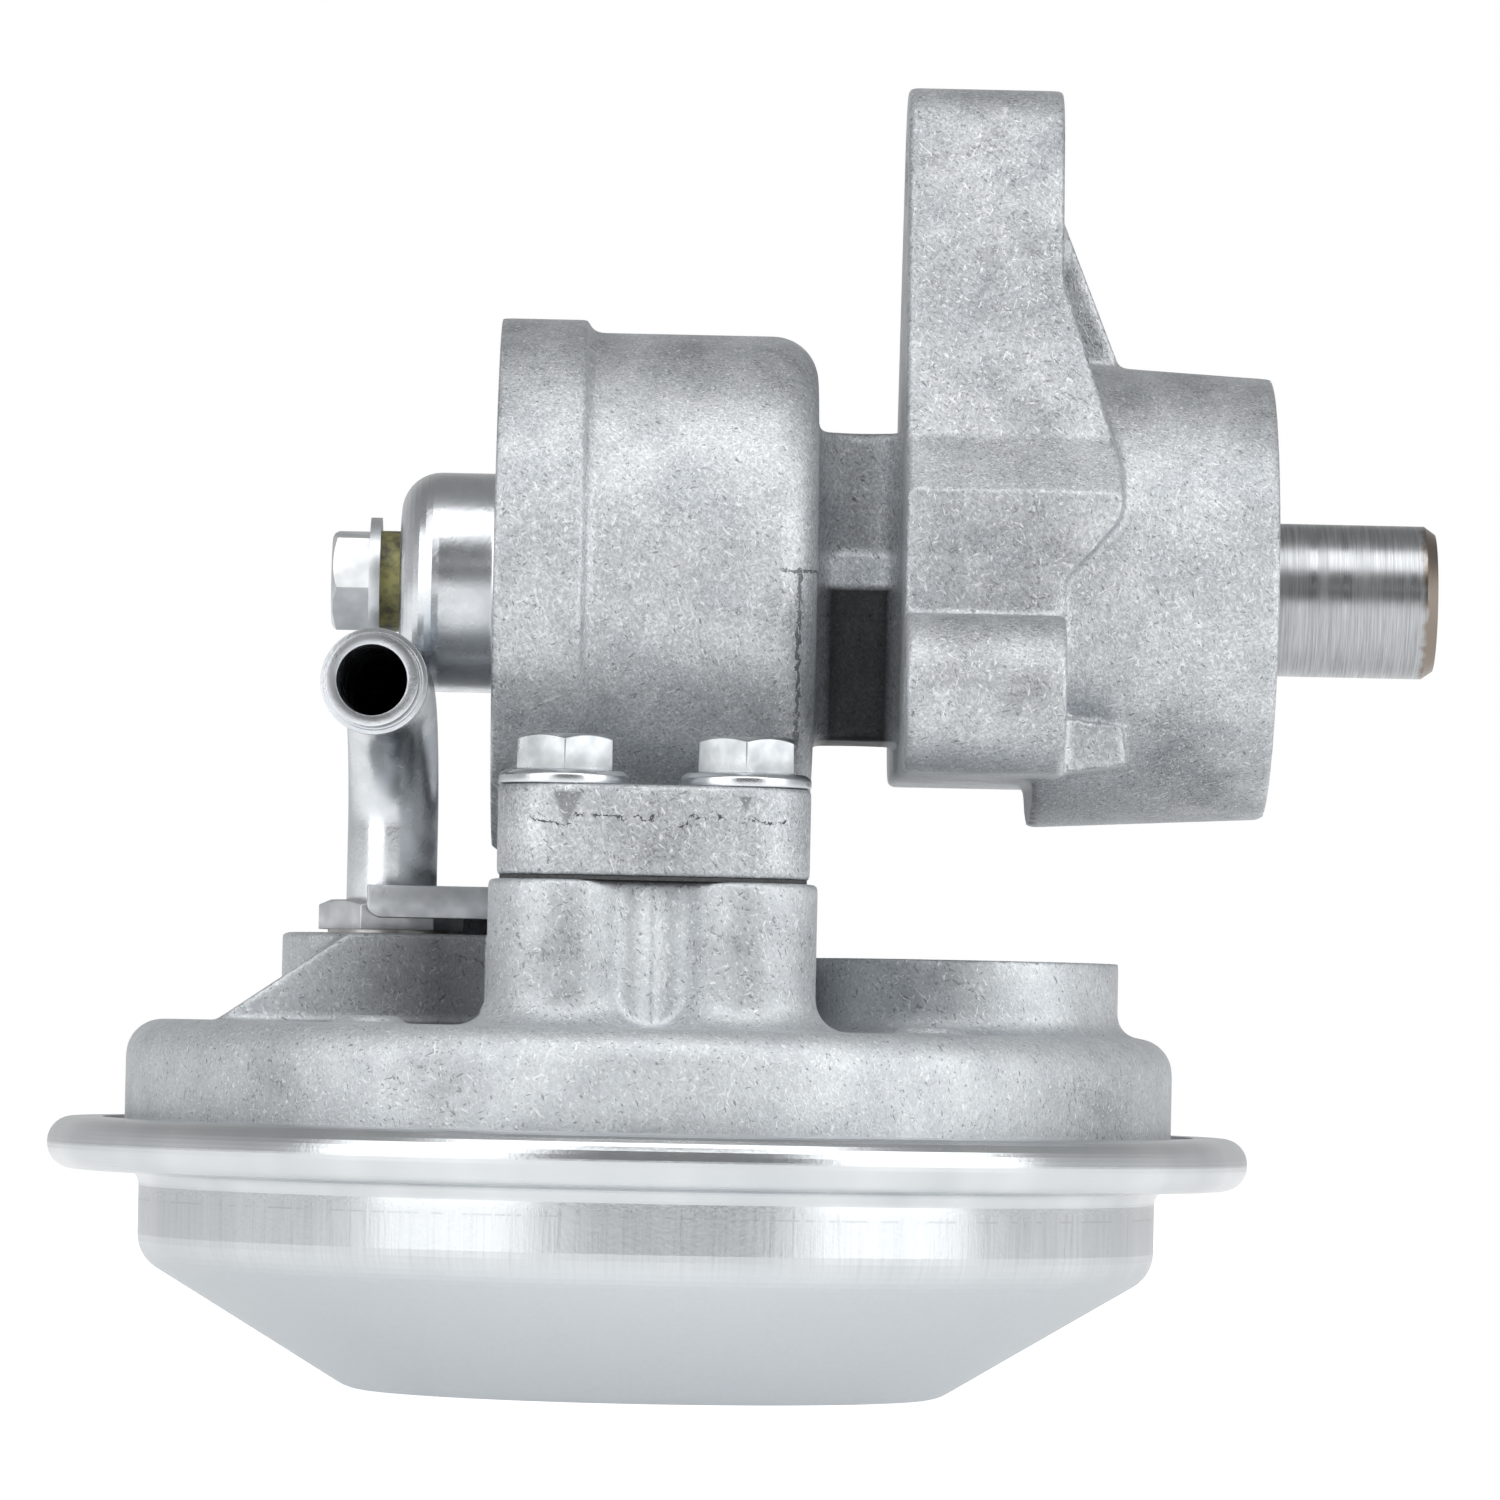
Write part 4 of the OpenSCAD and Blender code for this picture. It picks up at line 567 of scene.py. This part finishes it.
def ground_shaft_steel(name):
    material, tree, at = start_material(name)
    fine = add(tree, "ShaderNodeMapping", {"Vector": at, "Scale": (6.0, 0.12, 0.12)})
    lines = add(tree, "ShaderNodeTexNoise", {
        "Vector": fine, "Scale": 1.0, "Detail": 3.0, "Roughness": 0.75})
    coarse = add(tree, "ShaderNodeMapping", {"Vector": at, "Scale": (0.9, 0.05, 0.05)})
    broad = add(tree, "ShaderNodeTexNoise", {"Vector": coarse, "Scale": 1.0, "Detail": 1.0})
    colour = add(tree, "ShaderNodeMix", {
        "Factor": within(tree, lines, (0.32, 0.68)), "A": linear("#8f9194"), "B": linear("#bcbec0")},
        "Result", data_type="RGBA")

    x = add(tree, "ShaderNodeSeparateXYZ", {"Vector": at}, "X")
    wobble = clouds(tree, at, 0.8, 2.0, (0.3, 0.7), (-0.35, 0.35))
    along = add(tree, "ShaderNodeMath", {0: x, 1: wobble}, operation="ADD")
    flat = add(tree, "ShaderNodeVectorMath", {0: at, 1: (0, 1, 1)}, operation="MULTIPLY")
    out = add(tree, "ShaderNodeVectorMath", {0: flat, 1: (0, 0, SHAFT_UP)}, "Value",
              operation="DISTANCE")
    thickness = add(tree, "ShaderNodeMapRange", {
        "Value": out, "From Min": 5.5, "From Max": 7.5, "To Min": 0.25, "To Max": 1.0})
    rust = all_of(tree, within(tree, along, (SHAFT_END - 1.9, SHAFT_END - 1.2)), thickness)
    colour = add(tree, "ShaderNodeMix", {"Factor": rust, "A": colour, "B": linear("#877d74")},
                 "Result", data_type="RGBA")
    rough = add(tree, "ShaderNodeMapRange", {
        "Value": broad, "From Min": 0.3, "From Max": 0.7, "To Min": 0.26, "To Max": 0.38})
    end_material(tree, colour, 1.0, rough, lines, 0.12, 0.03)
    return material


ground_steel = ground_shaft_steel("ground_shaft_steel")
print(ground_steel.name, "shaft at", SHAFT_UP, "mm, its end at", SHAFT_END, "mm")

# %% [markdown]
# ## Rubber, fibre and foam
# None of these is a metal, so light enters the surface and comes back with its colour, under a weak
# sheen. Rubber has a fine matt grain, the gasket short fibres, and the filter open cells.

# %% Make the soft materials
def moulded(name, pale, dark, rough, grain, depth_mm):
    material, tree, at = start_material(name)
    specks = add(tree, "ShaderNodeTexNoise", {
        "Vector": at, "Scale": grain, "Detail": 3.0, "Roughness": 0.6})
    colour = add(tree, "ShaderNodeMix", {
        "Factor": within(tree, specks, (0.35, 0.65)), "A": linear(dark), "B": linear(pale)},
        "Result", data_type="RGBA")
    end_material(tree, colour, 0.0, rough, specks, 0.5, depth_mm)
    return material


black_rubber = moulded("moulded_black_rubber", "#2b2b2c", "#1c1c1d", 0.55, 1.5, 0.05)
brown_rubber = moulded("moulded_brown_seal_rubber", "#5a3324", "#3e2218", 0.5, 1.5, 0.05)
olive_rubber = moulded("moulded_olive_seal_rubber", "#93905a", "#4a4733", 0.5, 0.6, 0.08)
fibre = moulded("compressed_gasket_fibre", "#4b4c4d", "#333435", 0.8, 2.5, 0.08)
foam = moulded("open_cell_filter_foam", "#3a4443", "#1e2424", 0.9, 1.2, 0.4)
print("soft materials ready")

# %% [markdown]
# ## Which node has which finish
# The record lists each node with its material slot. Every slot gets one material here, and every
# node that keeps its own solid is given it. The shaft, the bolts, the plug and the fitting differ
# from the rest of their slot.

# %% Give each node its material
finish_of_slot = {
    "cast_aluminium": cast_aluminium, "can_steel": can_steel, "zinc_steel": bright_zinc,
    "grey_steel": grey_zinc, "ground_steel": bearing_steel, "ball_steel": bearing_steel,
    "cage_brass": brass, "shield_steel": grey_zinc, "spring_steel": spring_steel,
    "crank_iron": machined_iron, "forged_rod": turned_aluminium, "plate_aluminium": turned_aluminium,
    "plate_steel": bright_zinc, "diaphragm_rubber": black_rubber, "valve_rubber": black_rubber,
    "seal_rubber": brown_rubber, "olive_seal": olive_rubber, "gasket_fibre": fibre,
    "washer_copper": copper, "valve_brass": brass, "filter_foam": foam,
}
slot_of_node = {part["node"]: part["material_slot"] for part in frame["record"]["subparts"]}
for name, slot in slot_of_node.items():
    nodes[name].data.materials.clear()
    nodes[name].data.materials.append(finish_of_slot[slot])
nodes["drive_shaft"].data.materials[0] = ground_steel
nodes["clamp_bolts"].data.materials[0] = barrel_zinc
for name in ("plug_bolt", "inlet_fitting"):
    nodes[name].data.materials[0] = pale_zinc
print(len(slot_of_node), "nodes,", len(finish_of_slot), "finishes")

# %% [markdown]
# ## Castings with soft edges
# A die casting has no sharp corner: every edge is rounded by the die, and every inner corner is
# filleted. The CAD solid is exact but sharp. Rebuilding it on a fine grid, smoothing a little and
# then taking away the triangles that flat areas don't need rounds all the edges at once, outside
# and inside, by about half a millimetre.

# %% Soften a casting
GRID = 0.45 * MM
TRIANGLES_KEPT = 0.35


def soft_casting(name, source, material, rounds):
    mesh = nodes[source].data.copy()
    shell = bmesh.new()
    shell.from_mesh(mesh)
    bmesh.ops.remove_doubles(shell, verts=shell.verts, dist=0.001 * MM)
    shell.to_mesh(mesh)
    shell.free()
    piece = bpy.data.objects.new(name + "_source", mesh)
    scene.collection.objects.link(piece)
    remesh = piece.modifiers.new("grid", "REMESH")
    remesh.mode = "VOXEL"
    remesh.voxel_size = GRID
    remesh.use_smooth_shade = True
    smooth = piece.modifiers.new("smooth", "SMOOTH")
    smooth.factor = 0.5
    smooth.iterations = rounds
    thin = piece.modifiers.new("thin", "DECIMATE")
    thin.ratio = TRIANGLES_KEPT
    done = bpy.data.meshes.new_from_object(piece.evaluated_get(bpy.context.evaluated_depsgraph_get()))
    bpy.data.objects.remove(piece)
    casting = bpy.data.objects.new(name, done)
    scene.collection.objects.link(casting)
    done.materials.clear()
    done.materials.append(material)
    for face in done.polygons:
        face.use_smooth = True
    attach(casting, "root")
    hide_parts(source)
    print(name, len(done.polygons), "faces")


soft_casting("crankcase_casting", "main_housing", cast_aluminium, 6)
soft_casting("diaphragm_housing_casting", "diaphragm_housing", calm_aluminium, 4)

# %% [markdown]
# ## Small parts with broken edges
# Barrels and dies take the sharpness off small parts too: the corners of a bolt's head, the mouth of
# a tube and the rim of a washer are rounded by a few tenths of a millimetre, and each of these edges
# catches a thin line of light. The copy of a CAD solid is loose triangles, so its corners are merged
# and its flat faces joined up first, and then every edge that turns by more than thirty degrees is
# bevelled. An edge that still turns by more than eighteen is shaded sharp.

# %% Bevel the small parts
FLAT, CORNER, SHARP = math.radians(0.5), math.radians(30), math.radians(18)


def broken_edges(source, width):
    shell = bmesh.new()
    shell.from_mesh(nodes[source].data)
    bmesh.ops.remove_doubles(shell, verts=shell.verts, dist=0.002 * MM)
    bmesh.ops.dissolve_limit(shell, angle_limit=FLAT, verts=shell.verts, edges=shell.edges)
    corners = [edge for edge in shell.edges if edge.calc_face_angle(0) > CORNER]
    bmesh.ops.bevel(shell, geom=corners, offset=width * MM, offset_type="OFFSET", segments=3,
                    profile=0.5, affect="EDGES", clamp_overlap=True, material=-1)
    bmesh.ops.triangulate(shell, faces=[face for face in shell.faces if len(face.verts) > 4])
    for face in shell.faces:
        face.smooth = True
    for edge in shell.edges:
        edge.smooth = edge.calc_face_angle(0) < SHARP
    mesh = bpy.data.meshes.new(source + "_rounded")
    shell.to_mesh(mesh)
    shell.free()
    piece = bpy.data.objects.new(source + "_rounded", mesh)
    scene.collection.objects.link(piece)
    mesh.materials.append(nodes[source].data.materials[0])
    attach(piece, "root")
    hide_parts(source)
    print(piece.name, len(corners), "edges,", len(mesh.polygons), "faces")


for source, width in (("clamp_bolts", 0.35), ("clamp_washers", 0.2), ("plug_bolt", 0.35),
                      ("inlet_fitting", 0.35), ("inlet_tube", 0.4), ("lock_plate", 0.4)):
    broken_edges(source, width)

# %% [markdown]
# ## Copies of the valve springs
# Each valve's disc lifts against a small coil spring. A spring is not rigid: one end stays on its
# seat while the other follows the disc, so its coils close up. Here each spring is a copy of its CAD
# mesh with a mesh of its own, which stands in place of the CAD spring.

# %% Copy the valve springs
def closing_spring(joint):
    bent = joint["deforming_nodes"][0]
    source = bent["node"]
    coil = bpy.data.objects.new(source + "_coil", nodes[source].data.copy())
    scene.collection.objects.link(coil)
    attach(coil, "root")
    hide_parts(source)
    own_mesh(coil)


for joint in frame["record"]["behaviour"]["joints"]:
    if "valve" in joint["name"]:
        closing_spring(joint)

# %% [markdown]
# ## The lamps
# The picture has very little shadow. Grooves that face the camera are dark, while walls that face
# sideways are bright: the room round the camera was dim, with a big soft box on each side and one
# above. A narrow strip in front adds a thin light line to whatever is round.

# %% Hang the lamps
MIDDLE = (0.01, 0, 0.075)


def soft_box(name, place, size, power):
    lamp = bpy.data.lights.new(name, "AREA")
    lamp.shape = "RECTANGLE"
    lamp.size, lamp.size_y = size
    lamp.energy = power
    box = bpy.data.objects.new(name, lamp)
    scene.collection.objects.link(box)
    box.location = place
    box.rotation_euler = (Vector(MIDDLE) - Vector(place)).to_track_quat("-Z", "Y").to_euler()


soft_box("left_soft_box", (-0.62, -0.66, 0.42), (0.75, 0.95), 4.9)
soft_box("right_soft_box", (0.76, -0.56, 0.42), (0.75, 0.95), 5.5)
soft_box("top_soft_box", (0.0, -0.45, 0.95), (1.0, 0.6), 4.6)
soft_box("front_strip", (0.1, -1.1, 0.46), (0.5, 0.035), 0.11)
print("lamps ready")

# %% [markdown]
# ## The room
# A white sweep stands behind the pump, and the rest of the room is dim. The world does the work of
# both: dim in front, brighter behind, dimmer again high up, and plain white where the camera looks
# straight at it.

# %% Light the room
world = bpy.data.worlds.new("studio")
scene.world = world
world.use_nodes = True
tree = world.node_tree
tree.nodes.clear()
direction = add(tree, "ShaderNodeTexCoord", output="Generated")
back, high_up = [add(tree, "ShaderNodeSeparateXYZ", {"Vector": direction}, axis) for axis in "YZ"]
behind = add(tree, "ShaderNodeMapRange", {
    "Value": back, "From Min": -0.80, "From Max": 0.10, "To Min": 0.08, "To Max": 0.62})
lowered = add(tree, "ShaderNodeMapRange", {
    "Value": high_up, "From Min": 0.25, "From Max": 0.70, "To Min": 1.0, "To Max": 0.5})
sweep = add(tree, "ShaderNodeMath", {0: behind, 1: lowered}, operation="MULTIPLY")
light = add(tree, "ShaderNodeBackground", {"Color": (1, 1, 1, 1), "Strength": sweep})
white = add(tree, "ShaderNodeBackground", {"Color": (1, 1, 1, 1), "Strength": 1.0})
to_camera = add(tree, "ShaderNodeLightPath", output="Is Camera Ray")
seen = add(tree, "ShaderNodeMixShader", {0: to_camera, 1: light, 2: white})
add(tree, "ShaderNodeOutputWorld", {"Surface": seen})
print("room ready")

# %% [markdown]
# ## The paper
# The sweep runs on below the pump. Here it is one large flat sheet, which glows for the camera and
# for reflections, so that it reads as white as the background does. It is part of the stage and not
# of the pump.

# %% Lay the paper
PAPER_SEEN, PAPER_MIRRORED = 0.80, 0.50

floor_shape = bmesh.new()
bmesh.ops.create_grid(floor_shape, x_segments=1, y_segments=1, size=3)
floor_mesh = bpy.data.meshes.new("floor")
floor_shape.to_mesh(floor_mesh)
floor_shape.free()
floor = bpy.data.objects.new("floor", floor_mesh)
scene.collection.objects.link(floor)
paper = bpy.data.materials.new("white_studio_paper")
paper.use_nodes = True
tree = paper.node_tree
tree.nodes.clear()
to_camera = add(tree, "ShaderNodeLightPath", output="Is Camera Ray")
mirrored = add(tree, "ShaderNodeLightPath", output="Is Glossy Ray")
mirrored = add(tree, "ShaderNodeMath", {0: mirrored, 1: PAPER_MIRRORED}, operation="MULTIPLY")
shown = add(tree, "ShaderNodeMath", {0: to_camera, 1: PAPER_SEEN, 2: mirrored},
            operation="MULTIPLY_ADD")
glow = add(tree, "ShaderNodeEmission", {"Color": (1, 1, 1, 1), "Strength": shown})
sheet = add(tree, "ShaderNodeBsdfDiffuse", {"Color": linear("#e8e8e8")})
both = add(tree, "ShaderNodeAddShader", {0: sheet, 1: glow})
add(tree, "ShaderNodeOutputMaterial", {"Surface": both})
floor_mesh.materials.append(paper)
print("paper ready")
